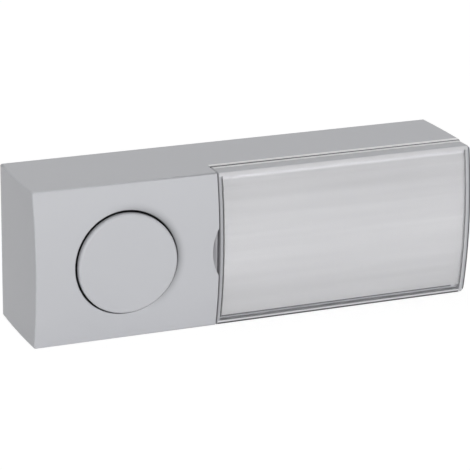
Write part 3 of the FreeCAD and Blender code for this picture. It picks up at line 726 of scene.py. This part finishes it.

# Painted light and shade on the housing.
HOUSING_PATCHES = (
    # Painted shade on the neck's front rim, seen in the narrow gap round the card.
    Patch("neck rim", span(-7.25, 41.8), span(17.0, 20.5), span(-13.76, 13.4), SHADOW),
    # Painted highlight along the shoulder's rounded edge behind the cover.
    Patch(
        "shoulder edge", span(-8.1, PAST_RIGHT), span(13.9, 14.78), span(14.6, PAST_TOP),
        paint(252, 252, 253),
    ),
    # Painted shade in the groove between the shoulder and the cover's back edge.
    Patch("cover groove", span(-8.1, PAST_RIGHT), span(14.76, COVER_BACK), span(13.9, 14.98), SHADOW),
    # Painted shade in the finger notch.
    Patch("notch", span(-9.7, -8.2), span(19.2, 20.28), span(-4.7, 4.7), paint(168, 168, 172)),
)
CARD_PATCHES = (
    # Painted light: a pale band along the card's upper edge.
    Patch(
        "upper edge", span(-8.0, PAST_RIGHT), span(COVER_BACK, PAST_FRONT), span(13.2, 14.5),
        paint(236, 236, 238), softness=0.4 * MM,
    ),
)
# Painted highlights and painted shade along the cover's walls and edges.
WALL_PATCHES = (
    # Painted shade: a darker strip along the cover's left edge at the seam.
    Patch(
        "seam edge", span(-8.2, -7.93), span(COVER_BACK, PAST_FRONT), span(PAST_BOTTOM, 14.8),
        paint(165, 165, 169),
    ),
    # Painted highlight along the lower rim.
    Patch("lower rim", span(-7.9, PAST_RIGHT), span(18.0, PAST_FRONT), span(-14.52, -14.2), WHITE),
    # Painted shade: a dark line on the lower edge's rounding.
    Patch(
        "lower edge", span(-7.9, PAST_RIGHT), span(18.45, PAST_FRONT), span(PAST_BOTTOM, -14.54),
        paint(40, 40, 44),
    ),
    # Painted shade along the right edge.
    Patch("right edge", span(43.72, 44.1), span(18.0, PAST_FRONT), span(PAST_BOTTOM, 14.6), SHADOW),
    # Painted highlight: a pale strip on the right wall.
    Patch(
        "right rim", span(42.9, 43.5), span(COVER_BACK, PAST_FRONT), span(PAST_BOTTOM, 14.6),
        paint(218, 219, 222),
    ),
    # Painted highlight along the back top edge, beside the groove.
    Patch("back edge", span(-7.9, PAST_RIGHT), span(COVER_BACK, 16.5), span(14.7, PAST_TOP), WHITE),
    # Painted light: a pale band along the upper wall's front.
    Patch("upper rim", span(-7.9, 43.6), span(18.9, PAST_FRONT), span(14.1, 14.9), paint(232, 232, 234)),
)

FINISHES: dict[Slot, Finish] = {
    finish.slot: finish
    for finish in (
        PaintFinish(Slot.HOUSING_PAINT, SILVER, 0.42, shade_drift=0.03, patches=HOUSING_PATCHES),
        # The button takes the same painted shade in its gap; its painted shadow is its own silver, so none
        # shows.
        PaintFinish(Slot.BUTTON_PAINT, SILVER, 0.4, shade_drift=0.03, shaded=SILVER),
        Finish(
            Slot.CLEAR_PLASTIC, paint(252, 252, 253), 0.01, shade_drift=0.004, grain_roughness=0.01,
            grain_depth=0.00002 * MM, transmission=1.0, ior=1.49,
        ),
        # The card's long soft streaks are a painted sheen.
        CardFinish(
            Slot.CARD, paint(215, 215, 216), 0.6, shade_drift=0.28, drift_size=2.6 * MM,
            grain_size=0.15 * MM, stretch=(0.04, 1.0, 1.0), patches=CARD_PATCHES,
        ),
        Finish(Slot.OPAL_PLASTIC, paint(232, 232, 228), 0.35, subsurface=0.4),
        Finish(Slot.PLATE_PLASTIC, paint(176, 176, 180), 0.45, shade_drift=0.06),
        Finish(Slot.FRAME_PLASTIC, paint(214, 213, 206), 0.4, shade_drift=0.05),
        MetalFinish(Slot.SPRING_STEEL, paint(186, 186, 188), 0.28, shade_drift=0.15),
        MetalFinish(
            Slot.CONTACT_BRASS, paint(214, 180, 112), 0.32, shade_drift=0.16, drift_size=6.0 * MM,
            grain_size=0.1 * MM, stretch=(0.15, 1.0, 1.0),
        ),
        MetalFinish(
            Slot.CONTACT_SILVER, paint(224, 222, 216), 0.3, drift_size=1.5 * MM, grain_size=0.06 * MM
        ),
        MetalFinish(Slot.PLATED_STEEL, paint(196, 196, 192), 0.3, shade_drift=0.14, drift_size=2.5 * MM),
        Finish(
            Slot.GROMMET_RUBBER, paint(58, 58, 60), 0.7, shade_drift=0.2, drift_size=4.0 * MM,
            grain_size=0.2 * MM, grain_depth=0.01 * MM,
        ),
        Finish(
            Slot.LAMP_GLASS, paint(250, 250, 250), 0.02, shade_drift=0.01, grain_roughness=0.02,
            grain_depth=0.0001 * MM, transmission=1.0, ior=1.5,
        ),
        MetalFinish(Slot.LAMP_CAP_METAL, paint(206, 206, 204), 0.26),
        MetalFinish(
            Slot.FILAMENT_METAL, paint(150, 150, 152), 0.35, shade_drift=0.2, drift_size=1.0 * MM,
            grain_size=0.05 * MM,
        ),
    )
}

# The side walls' milky finish carries painted highlights and painted shade along their edges.
MILKY_WALLS = Finish(
    Slot.CLEAR_PLASTIC, paint(200, 201, 205), 0.35, shade_drift=0.02, transmission=0.3, ior=1.49,
    suffix="_edge_finish", patches=WALL_PATCHES,
)


def dress(piece: bpy.types.Object, slot: Slot) -> None:
    """Gives a piece or node the finish of a slot.

    Args:
        piece: The object to finish.
        slot: The slot whose finish it takes.
    """
    piece.data.materials.clear()
    piece.data.materials.append(FINISHES[slot].material())


def finish_piece(piece: bpy.types.Object, body: Body, slot: Slot, stands_for: Sequence[str]) -> None:
    """Links a new piece into the scene, on its body and in place of its nodes.

    Args:
        piece: The new object, at the origin.
        body: The body that it rides on.
        slot: The slot that it takes its finish from.
        stands_for: The CAD nodes that it replaces.
    """
    bpy.context.scene.collection.objects.link(piece)
    dress(piece, slot)
    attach(piece, body.value)
    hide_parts(*stands_for)
    log.info("%-18s %6d faces on %s", piece.name, len(piece.data.polygons), body.value)


def mesh_object(name: str, shape: bmesh.types.BMesh) -> bpy.types.Object:
    """Writes a bmesh to a new object and frees it.

    Args:
        name: Name of the object and its mesh.
        shape: The finished shape.

    Returns:
        The object, not linked yet.
    """
    mesh = bpy.data.meshes.new(name)
    shape.to_mesh(mesh)
    shape.free()
    return bpy.data.objects.new(name, mesh)


def spin_section(
    section: Sequence[tuple[float, float]], steps: int, closed: bool, merge: float = 0.001 * MM
) -> bmesh.types.BMesh:
    """Spins a half section once round the depth axis.

    Args:
        section: Its points as (radius, depth).
        steps: Steps in the full turn.
        closed: Whether its last point joins its first.
        merge: Points nearer than this become one.

    Returns:
        The shape, closed and facing outwards.
    """
    shape = bmesh.new()
    points = [shape.verts.new((radius, -depth, 0.0)) for radius, depth in section]
    ends = points[1:] + points[:1] if closed else points[1:]
    edges = [shape.edges.new(pair) for pair in zip(points, ends)]
    bmesh.ops.spin(
        shape, geom=points + edges, cent=(0, 0, 0), axis=(0, 1, 0), angle=math.tau, steps=steps,
        use_merge=True,
    )
    bmesh.ops.remove_doubles(shape, verts=shape.verts, dist=merge)
    bmesh.ops.recalc_face_normals(shape, faces=shape.faces)
    return shape


def carve(piece: bpy.types.Object, cutter: bpy.types.Object) -> None:
    """Cuts one closed shape out of another for good and removes the cutter.

    Args:
        piece: The object to cut, not linked yet.
        cutter: The shape to take away, not linked yet.
    """
    room = bpy.context.scene.collection
    room.objects.link(piece)
    room.objects.link(cutter)
    cut = piece.modifiers.new("carve", "BOOLEAN")
    cut.operation = "DIFFERENCE"
    cut.solver = "EXACT"
    cut.object = cutter
    graph = bpy.context.evaluated_depsgraph_get()
    carved = bpy.data.meshes.new_from_object(piece.evaluated_get(graph))
    piece.modifiers.clear()
    piece.data = carved
    room.objects.unlink(piece)
    bpy.data.objects.remove(cutter)


def smooth_by_angle(
    mesh: bpy.types.Mesh, crease: float, forms: Iterable[TrueCylinder], large_face: float = 1.5 * MM * MM
) -> None:
    """Shades a mesh smooth, keeps its creases and gives its large faces their true normals.

    Args:
        mesh: The mesh, with its doubles merged.
        crease: Edges that turn by more than this stay sharp.
        forms: The smooth cylinders that its faceted faces stand for.
        large_face: Flat faces from this area up keep their own normal at their corners.
    """
    mesh.shade_smooth()
    mesh.set_sharp_from_angle(angle=crease)
    forms = list(forms)
    exact: dict[int, list[tuple[float, Vector]]] = {}
    own: dict[int, Optional[TrueCylinder]] = {}
    for polygon in mesh.polygons:
        corners = [mesh.vertices[index].co for index in polygon.vertices]
        found = next((form for form in forms if form.holds(polygon, corners)), None)
        own[polygon.index] = found
        if found is None and polygon.area < large_face:
            continue
        facing = Vector(polygon.normal)
        for index, corner in zip(polygon.vertices, corners):
            normal = found.normal(corner, facing) if found else facing
            exact.setdefault(index, []).append((polygon.area, normal))
    normals = [Vector(corner.vector) for corner in mesh.corner_normals]
    for polygon in mesh.polygons:
        facing = Vector(polygon.normal)
        for loop in polygon.loop_indices:
            index = mesh.loops[loop].vertex_index
            if own[polygon.index]:
                normals[loop] = own[polygon.index].normal(mesh.vertices[index].co, facing)
                continue
            near = [item for item in exact.get(index, []) if item[1].angle(facing) < crease]
            if near:
                normals[loop] = max(near, key=lambda item: item[0])[1]
    mesh.normals_split_custom_set(normals)


@dataclass
class SmoothShell:
    """A smoothed, merged copy of a rigid CAD node."""

    node: str
    name: str
    body: Body
    slot: Slot
    crease: float = math.radians(32.0)
    merge: float = 0.002 * MM

    def forms(self) -> list[TrueCylinder]:
        """The smooth forms that the shell's faceted faces stand for."""
        return CASE.true_faces()

    def soften(self, shell: bmesh.types.BMesh) -> None:
        """Does nothing here; a subclass may round edges of the merged copy.

        Args:
            shell: The merged copy, not used here.
        """

    def cut(self, piece: bpy.types.Object) -> None:
        """Does nothing here; a subclass may cut the merged copy before it is shaded.

        Args:
            piece: The merged copy, not linked yet; not used here.
        """

    def build(self) -> bpy.types.Object:
        """Copies the node's mesh, merges it and shades it as the smooth form it stands for.

        Returns:
            The finished piece.
        """
        shell = bmesh.new()
        shell.from_mesh(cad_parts[self.node].data)
        bmesh.ops.remove_doubles(shell, verts=shell.verts, dist=self.merge)
        self.soften(shell)
        piece = mesh_object(self.name, shell)
        self.cut(piece)
        smooth_by_angle(piece.data, self.crease, self.forms())
        finish_piece(piece, self.body, self.slot, [self.node])
        return piece


@dataclass
class HousingShell(SmoothShell):
    """The housing, with the soft rounding of the button hole's rim."""

    in_hole: str = "button_cap"
    hole_radius: float = 10.0 * MM
    rim_round: float = 0.15 * MM
    clearance: float = 0.3 * MM
    steps: int = 128
    arc_steps: int = 8

    def forms(self) -> list[TrueCylinder]:
        """The case's forms and the wall of the button hole."""
        hole = TrueCylinder(Vector((middle_x(self.in_hole), 0, 0)), Vector((0, 1, 0)))
        return CASE.true_faces() + [hole]

    def rim_section(self) -> list[tuple[float, float]]:
        """Section of what the rounding takes away from the hole's rim.

        Returns:
            Its points as (radius, depth).
        """
        points = []
        for step in range(self.arc_steps + 1):
            angle = math.pi / 2 * step / self.arc_steps
            out = self.rim_round * (1 - math.cos(angle))
            sunk = self.rim_round * (1 - math.sin(angle))
            points.append((self.hole_radius + out, CASE.front - sunk))
        top = CASE.front + self.clearance
        inside = self.hole_radius - self.clearance
        points += [
            (self.hole_radius + self.rim_round, top),
            (inside, top),
            (inside, CASE.front - self.rim_round),
        ]
        return points

    def cut(self, piece: bpy.types.Object) -> None:
        """Rounds the hole's rim with a ring that follows the crown.

        Args:
            piece: The merged copy, not linked yet.
        """
        ring = spin_section(self.rim_section(), self.steps, closed=True)
        for vertex in ring.verts:
            vertex.co.y += CASE.front - CASE.crown_depth(vertex.co.z)
        bmesh.ops.translate(ring, verts=ring.verts, vec=(middle_x(self.in_hole), 0, 0))
        carve(piece, mesh_object("rim_cutter", ring))


@dataclass
class CoverShell(SmoothShell):
    """The clear cover, with finely rounded outer edges and faintly milky side walls that carry painted
    highlights and shade.
    """

    edge_round: float = 0.15 * MM
    edge_segments: int = 3
    flat_angle: float = math.radians(0.5)
    sharp_angle: float = math.radians(50.0)
    pane_lean: float = math.radians(60.0)
    pane_depth: float = 1.2 * MM
    wall: float = 0.8 * MM
    left_strip: float = 0.58 * MM
    right_strip: float = 0.95 * MM
    on_plane: float = 0.02 * MM

    def wall_lines(self) -> list[tuple[Vector, Vector]]:
        """The planes that part the clear pane from the four walls.

        Returns:
            Each plane as (place, facing), facing the pane's middle.
        """
        low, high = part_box(self.node)
        return [
            (Vector((low.x + self.left_strip, 0, 0)), Vector((1, 0, 0))),
            (Vector((high.x - CASE.end_bulge - self.right_strip, 0, 0)), Vector((-1, 0, 0))),
            (Vector((0, 0, low.z + self.wall)), Vector((0, 0, 1))),
            (Vector((0, 0, high.z - self.wall)), Vector((0, 0, -1))),
        ]

    def in_pane(self, polygon: bpy.types.MeshPolygon) -> bool:
        """Whether a polygon belongs to the clear pane and not to the walls.

        Args:
            polygon: The polygon to test.

        Returns:
            True inside the wall lines, near the front and facing it or the wall behind.
        """
        middle = Vector(polygon.center)
        behind = CASE.crown_depth(middle.z) + middle.y
        faces_front = abs(polygon.normal.y) > math.cos(self.pane_lean)
        inside = all((middle - place).dot(facing) > 0 for place, facing in self.wall_lines())
        return inside and faces_front and behind < self.pane_depth

    def is_outer(self, edge: bmesh.types.BMEdge) -> bool:
        """Whether a sharp edge lies on the cover's outline.

        Args:
            edge: The edge to test.

        Returns:
            True for a sharp edge along the top, the bottom or either end.
        """
        if len(edge.link_faces) != 2 or edge.calc_face_angle() < self.sharp_angle:
            return False
        low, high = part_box(self.node)
        ends = [vertex.co for vertex in edge.verts]
        top_or_bottom = all(abs(abs(end.z) - high.z) < self.on_plane for end in ends)
        left = all(end.x - low.x < self.on_plane for end in ends)
        right = all(high.x - end.x < CASE.end_bulge for end in ends)
        return top_or_bottom or left or right

    def soften(self, shell: bmesh.types.BMesh) -> None:
        """Joins the flat facets, parts the walls from the pane and rounds the outline.

        Args:
            shell: The merged copy.
        """
        bmesh.ops.dissolve_limit(
            shell, angle_limit=self.flat_angle, verts=shell.verts, edges=shell.edges
        )
        for place, facing in self.wall_lines():
            bmesh.ops.bisect_plane(
                shell, geom=shell.verts[:] + shell.edges[:] + shell.faces[:], dist=self.merge,
                plane_co=place, plane_no=facing,
            )
        outline = [edge for edge in shell.edges if self.is_outer(edge)]
        bmesh.ops.bevel(
            shell, geom=outline, offset=self.edge_round, offset_type="OFFSET", segments=self.edge_segments,
            profile=0.5, affect="EDGES", clamp_overlap=False, material=-1,
        )

    def build(self) -> bpy.types.Object:
        """Builds the cover, then gives its side walls their own milky finish with painted highlights and
        shade.

        Returns:
            The finished piece.
        """
        piece = super().build()
        piece.data.materials.append(MILKY_WALLS.material())
        for polygon in piece.data.polygons:
            polygon.material_index = 0 if self.in_pane(polygon) else 1
        return piece


SHELLS = (
    HousingShell("front_housing", "housing_shell", Body.HOUSING, Slot.HOUSING_PAINT),
    SmoothShell("base_plate", "wall_plate", Body.HOUSING, Slot.PLATE_PLASTIC),
    CoverShell("clear_cover", "clear_tray", Body.COVER, Slot.CLEAR_PLASTIC),
    SmoothShell("light_diffuser", "opal_panel", Body.HOUSING, Slot.OPAL_PLASTIC),
    SmoothShell("cable_grommet", "cable_sleeve", Body.HOUSING, Slot.GROMMET_RUBBER),
    SmoothShell("lamp_glass", "lamp_tube", Body.HOUSING, Slot.LAMP_GLASS),
    SmoothShell("lamp_cap_left", "lamp_end_left", Body.HOUSING, Slot.LAMP_CAP_METAL),
    SmoothShell("lamp_cap_right", "lamp_end_right", Body.HOUSING, Slot.LAMP_CAP_METAL),
)


@dataclass
class PushCap:
    """The round cap: crowned face, softly rounded rim, skirt, flange with two keys and a boss."""

    node: str = "button_cap"
    radius: float = 9.6 * MM
    rim_round: float = 0.5 * MM
    face: float = 21.5 * MM
    wall: float = 1.3 * MM
    face_wall: float = 2.0 * MM
    back: float = 13.5 * MM
    flange_radius: float = 11.15 * MM
    flange_thickness: float = 1.0 * MM
    boss_radius: float = 3.22 * MM
    boss_bore: float = 2.02 * MM
    boss_height: float = 3.2 * MM
    key_width: float = 3.0 * MM
    key_end: float = 12.7 * MM
    key_thickness: float = 0.998 * MM
    crowned_depth: float = 0.6 * MM
    crease: float = math.radians(35.0)
    steps: int = 128
    rings: int = 10
    round_steps: int = 6

    def profile(self) -> list[tuple[float, float]]:
        """The cap's half section, from the face's middle round to the boss's inside.

        Returns:
            Its points as (radius, depth).
        """
        inside = self.face - self.face_wall
        flat = self.radius - self.rim_round
        points = [(flat * ring / self.rings, self.face) for ring in range(self.rings + 1)]
        for step in range(1, self.round_steps + 1):
            angle = math.pi / 2 * step / self.round_steps
            out = self.rim_round * math.sin(angle)
            sunk = self.rim_round * (1 - math.cos(angle))
            points.append((flat + out, self.face - sunk))
        flange_front = self.back + self.flange_thickness
        points += [
            (self.radius, flange_front),
            (self.flange_radius, flange_front),
            (self.flange_radius, self.back),
            (self.radius - self.wall, self.back),
            (self.radius - self.wall, inside),
            (self.boss_radius, inside),
            (self.boss_radius, inside - self.boss_height),
            (self.boss_bore, inside - self.boss_height),
            (self.boss_bore, inside),
            (0.0, inside),
        ]
        return points

    def add_keys(self, shape: bmesh.types.BMesh) -> None:
        """Adds the two keys at the flange's upper and lower edge.

        Args:
            shape: The cap, still on the origin.
        """
        size = Matrix.Diagonal((self.key_width, self.key_thickness, self.key_end - self.radius, 1))
        depth = self.back + self.flange_thickness / 2
        for side in (1, -1):
            place = Matrix.Translation((0, -depth, side * (self.radius + self.key_end) / 2))
            bmesh.ops.create_cube(shape, size=1.0, matrix=place @ size)

    def build(self) -> None:
        """Spins the half section, bends the face to the crown and adds the keys."""
        shape = spin_section(self.profile(), self.steps, closed=False)
        proud = self.face - CASE.front
        for vertex in shape.verts:
            if self.face + vertex.co.y < self.crowned_depth:
                vertex.co.y += self.face - CASE.crown_depth(vertex.co.z, -proud)
        self.add_keys(shape)
        bmesh.ops.translate(shape, verts=shape.verts, vec=(middle_x(self.node), 0, 0))
        piece = mesh_object("push_cap", shape)
        smooth_by_angle(piece.data, self.crease, CASE.true_faces())
        finish_piece(piece, Body.BUTTON, Slot.BUTTON_PAINT, [self.node])


@dataclass
class ReturnCoil:
    """The wound spring between the switch frame and the cap, as smooth round wire."""

    node: str = "return_spring"
    joint: str = "button_press"
    mean_radius: float = 4.2 * MM
    wire: float = 0.6 * MM
    turns: int = 4
    steps_per_turn: int = 32
    wire_sides: int = 12
    travel: float = 1.5 * MM
    crease: float = math.radians(50.0)

    def wind(self, back: float, front: float) -> bmesh.types.BMesh:
        """Spins the wire's section along the coil and closes both ends.

        Args:
            back: Depth of the wire's middle at the coil's start.
            front: Depth of the wire's middle at its end.

        Returns:
            The coil, round the depth axis.
        """
        shape = bmesh.new()
        ring = bmesh.ops.create_circle(shape, cap_ends=False, segments=self.wire_sides, radius=self.wire / 2)
        start = Matrix.Translation((self.mean_radius, -back, 0))
        bmesh.ops.transform(shape, matrix=start, verts=ring["verts"])
        first = shape.edges[:]
        steps = self.turns * self.steps_per_turn
        spun = bmesh.ops.spin(
            shape, geom=shape.verts[:] + first, cent=(0, 0, 0), axis=(0, 1, 0),
            dvec=(0, -(front - back) / steps, 0), angle=-math.tau * self.turns, steps=steps,
        )
        last = [item for item in spun["geom_last"] if isinstance(item, bmesh.types.BMEdge)]
        bmesh.ops.edgeloop_fill(shape, edges=first)
        bmesh.ops.edgeloop_fill(shape, edges=last)
        bmesh.ops.recalc_face_normals(shape, faces=shape.faces)
        return shape

    def build(self) -> None:
        """Winds the coil in its node's place."""
        low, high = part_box(self.node)
        centre_x = middle_x(self.node)
        shape = self.wind(-high.y + self.wire / 2, -low.y - self.wire / 2)
        bmesh.ops.translate(shape, verts=shape.verts, vec=(centre_x, 0, 0))
        piece = mesh_object("return_coil", shape)
        smooth_by_angle(piece.data, self.crease, [])
        finish_piece(piece, Body.HOUSING, Slot.SPRING_STEEL, [self.node])
        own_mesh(piece)


@dataclass
class NameSlip:
    """The card alone, bent to the crown behind the pane."""

    node: str = "name_card"
    front_drop: float = 0.9 * MM
    left_trim: float = 0.12 * MM
    right_reach: float = 0.1 * MM
    height_trim: float = 0.1 * MM
    rise: float = 0.35 * MM
    thickness: float = 0.4 * MM
    columns: int = 24
    rows: int = 48
    crease: float = math.radians(35.0)

    def build(self) -> None:
        """Bends a grid to the crown and gives it the card's thickness."""
        low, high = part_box(self.node)
        left = low.x + self.left_trim
        right = high.x + self.right_reach
        tall = high.z - low.z - self.height_trim
        shape = bmesh.new()
        bmesh.ops.create_grid(shape, x_segments=self.columns, y_segments=self.rows, size=0.5)
        for vertex in shape.verts:
            across = (left + right) / 2 + vertex.co.x * (right - left)
            height = self.rise + vertex.co.y * tall
            vertex.co = Vector((across, -CASE.crown_depth(height, self.front_drop), height))
        bmesh.ops.recalc_face_normals(shape, faces=shape.faces)
        if shape.faces[:][0].normal.y > 0:
            bmesh.ops.reverse_faces(shape, faces=shape.faces)
        bmesh.ops.solidify(shape, geom=shape.faces[:], thickness=self.thickness)
        bmesh.ops.recalc_face_normals(shape, faces=shape.faces)
        piece = mesh_object("name_slip", shape)
        smooth_by_angle(piece.data, self.crease, CASE.true_faces())
        finish_piece(piece, Body.HOUSING, Slot.CARD, [self.node])


@dataclass(frozen=True)
class CarriedNodes:
    """The CAD nodes of one slot that keep their own shape."""

    slot: Slot
    names: tuple[str, ...]

    def build(self) -> None:
        """Dresses each node."""
        for name in self.names:
            dress(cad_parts[name], self.slot)
            log.info("%-18s keeps its CAD shape", name)


CARRIED = (
    CarriedNodes(Slot.FRAME_PLASTIC, ("plunger", "switch_frame")),
    CarriedNodes(Slot.CONTACT_BRASS, ("contact_bridge", "contact_strip_upper", "contact_strip_lower")),
    CarriedNodes(Slot.CONTACT_SILVER, ("bridge_contacts", "fixed_contacts")),
    CarriedNodes(Slot.SPRING_STEEL, ("bridge_retainer",)),
    CarriedNodes(
        Slot.PLATED_STEEL, ("clamp_plate_upper", "clamp_plate_lower", "terminal_screws", "housing_screws")
    ),
    CarriedNodes(Slot.FILAMENT_METAL, ("lamp_filament",)),
)


@dataclass(frozen=True)
class PhotoCamera:
    """The camera at the photograph's angle."""

    eye: Triple = (-0.1728, -0.4183, 0.1485)
    azimuth: float = math.radians(22.849)
    elevation: float = math.radians(18.629)
    roll: float = math.radians(0.779)
    lens: float = 187.955
    sensor: float = 36.0
    nearest: float = 0.01
    farthest: float = 20.0

    def build(self) -> None:
        """Places the camera and makes it the scene's own."""
        data = bpy.data.cameras.new("photo_camera")
        data.lens = self.lens
        data.sensor_width = self.sensor
        data.clip_start = self.nearest
        data.clip_end = self.farthest
        camera = bpy.data.objects.new("photo_camera", data)
        turn = Matrix.Rotation(-self.azimuth, 4, "Z")
        tilt = Matrix.Rotation(math.pi / 2 - self.elevation, 4, "X")
        roll = Matrix.Rotation(self.roll, 4, "Z")
        camera.matrix_world = Matrix.Translation(self.eye) @ turn @ tilt @ roll
        bpy.context.scene.collection.objects.link(camera)
        bpy.context.scene.camera = camera


@dataclass(frozen=True)
class SoftLamp:
    """A soft rectangular lamp, aimed at the object."""

    name: str
    place: Triple
    width: float
    height: float
    power: float

    def build(self) -> None:
        """Adds the lamp to the scene."""
        data = bpy.data.lights.new(self.name, "AREA")
        data.shape = "RECTANGLE"
        data.size = self.width
        data.size_y = self.height
        data.energy = self.power
        lamp = bpy.data.objects.new(self.name, data)
        lamp.location = self.place
        lamp.rotation_euler = (-Vector(self.place)).to_track_quat("-Z", "Y").to_euler()
        bpy.context.scene.collection.objects.link(lamp)


@dataclass(frozen=True)
class Studio:
    """Pale floor, a faint even surround, a wide soft lamp in front and one overhead."""

    floor_height: float = -15.05 * MM
    floor_size: float = 6.0
    floor_colour: Colour = paint(240, 240, 240)
    floor_roughness: float = 0.9
    glow_share: float = 0.8
    glow_strength: float = 1.14
    surround: float = 0.22
    lamps: tuple[SoftLamp, ...] = (
        SoftLamp("front_lamp", (-0.24, -1.1, 0.2), width=1.2, height=0.7, power=10.8),
        SoftLamp("top_lamp", (0.0, 0.35, 1.0), width=0.8, height=0.8, power=3.4),
    )

    @staticmethod
    def seen_ray(desk: NodeDesk) -> Socket:
        """A mask of the rays that look at the backdrop: camera, glossy and transmission rays.

        Args:
            desk: Desk on the tree that the mask is added to.

        Returns:
            The mask's socket, 1 for such a ray.
        """
        path = desk.add("LightPath").outputs
        glossy = desk.math("MAXIMUM", path["Is Camera Ray"], path["Is Glossy Ray"])
        return desk.math("MAXIMUM", glossy, path["Is Transmission Ray"])

    def floor_paint(self) -> bpy.types.Material:
        """A floor material that shows white and keeps the object's shadow.

        Returns:
            The material.
        """
        item = bpy.data.materials.new("studio_floor_paint")
        item.use_nodes = True
        desk = NodeDesk(item.node_tree)
        lit = item.node_tree.nodes["Principled BSDF"]
        lit.inputs["Base Color"].default_value = (*self.floor_colour, 1.0)
        lit.inputs["Roughness"].default_value = self.floor_roughness
        glow = desk.add("Emission")
        glow.inputs["Strength"].default_value = self.glow_strength
        mix = desk.add("MixShader")
        desk.feed(mix.inputs[0], desk.math("MULTIPLY", self.seen_ray(desk), self.glow_share))
        desk.feed(mix.inputs[1], lit.outputs[0])
        desk.feed(mix.inputs[2], glow.outputs[0])
        desk.feed(item.node_tree.nodes["Material Output"].inputs["Surface"], mix.outputs[0])
        return item

    def build_floor(self) -> None:
        """Lays the wide floor that the object stands on."""
        shape = bmesh.new()
        place = Matrix.Translation((0, 0, self.floor_height))
        bmesh.ops.create_grid(shape, x_segments=1, y_segments=1, size=self.floor_size / 2, matrix=place)
        floor = mesh_object("studio_floor", shape)
        floor.data.materials.append(self.floor_paint())
        bpy.context.scene.collection.objects.link(floor)

    def build_surround(self) -> None:
        """Adds an even world that lights the object softly and is seen as white."""
        world = bpy.data.worlds.new("studio_surround")
        world.use_nodes = True
        desk = NodeDesk(world.node_tree)
        light = world.node_tree.nodes["Background"]
        light.inputs["Color"].default_value = (1.0, 1.0, 1.0, 1.0)
        strength = desk.add("MapRange")
        strength.inputs["To Min"].default_value = self.surround
        strength.inputs["To Max"].default_value = 1.0
        desk.feed(strength.inputs["Value"], self.seen_ray(desk))
        desk.feed(light.inputs["Strength"], strength.outputs["Result"])
        bpy.context.scene.world = world

    def build(self) -> None:
        """Sets up the whole studio."""
        self.build_floor()
        self.build_surround()
        for lamp in self.lamps:
            lamp.build()
        bpy.context.scene.view_settings.view_transform = "Standard"


def main() -> None:
    """Builds the studio and dresses every part of the doorbell button."""
    for part in (PhotoCamera(), Studio(), *SHELLS, NameSlip(), PushCap(), ReturnCoil(), *CARRIED):
        part.build()


if __name__ == "__main__":
    main()
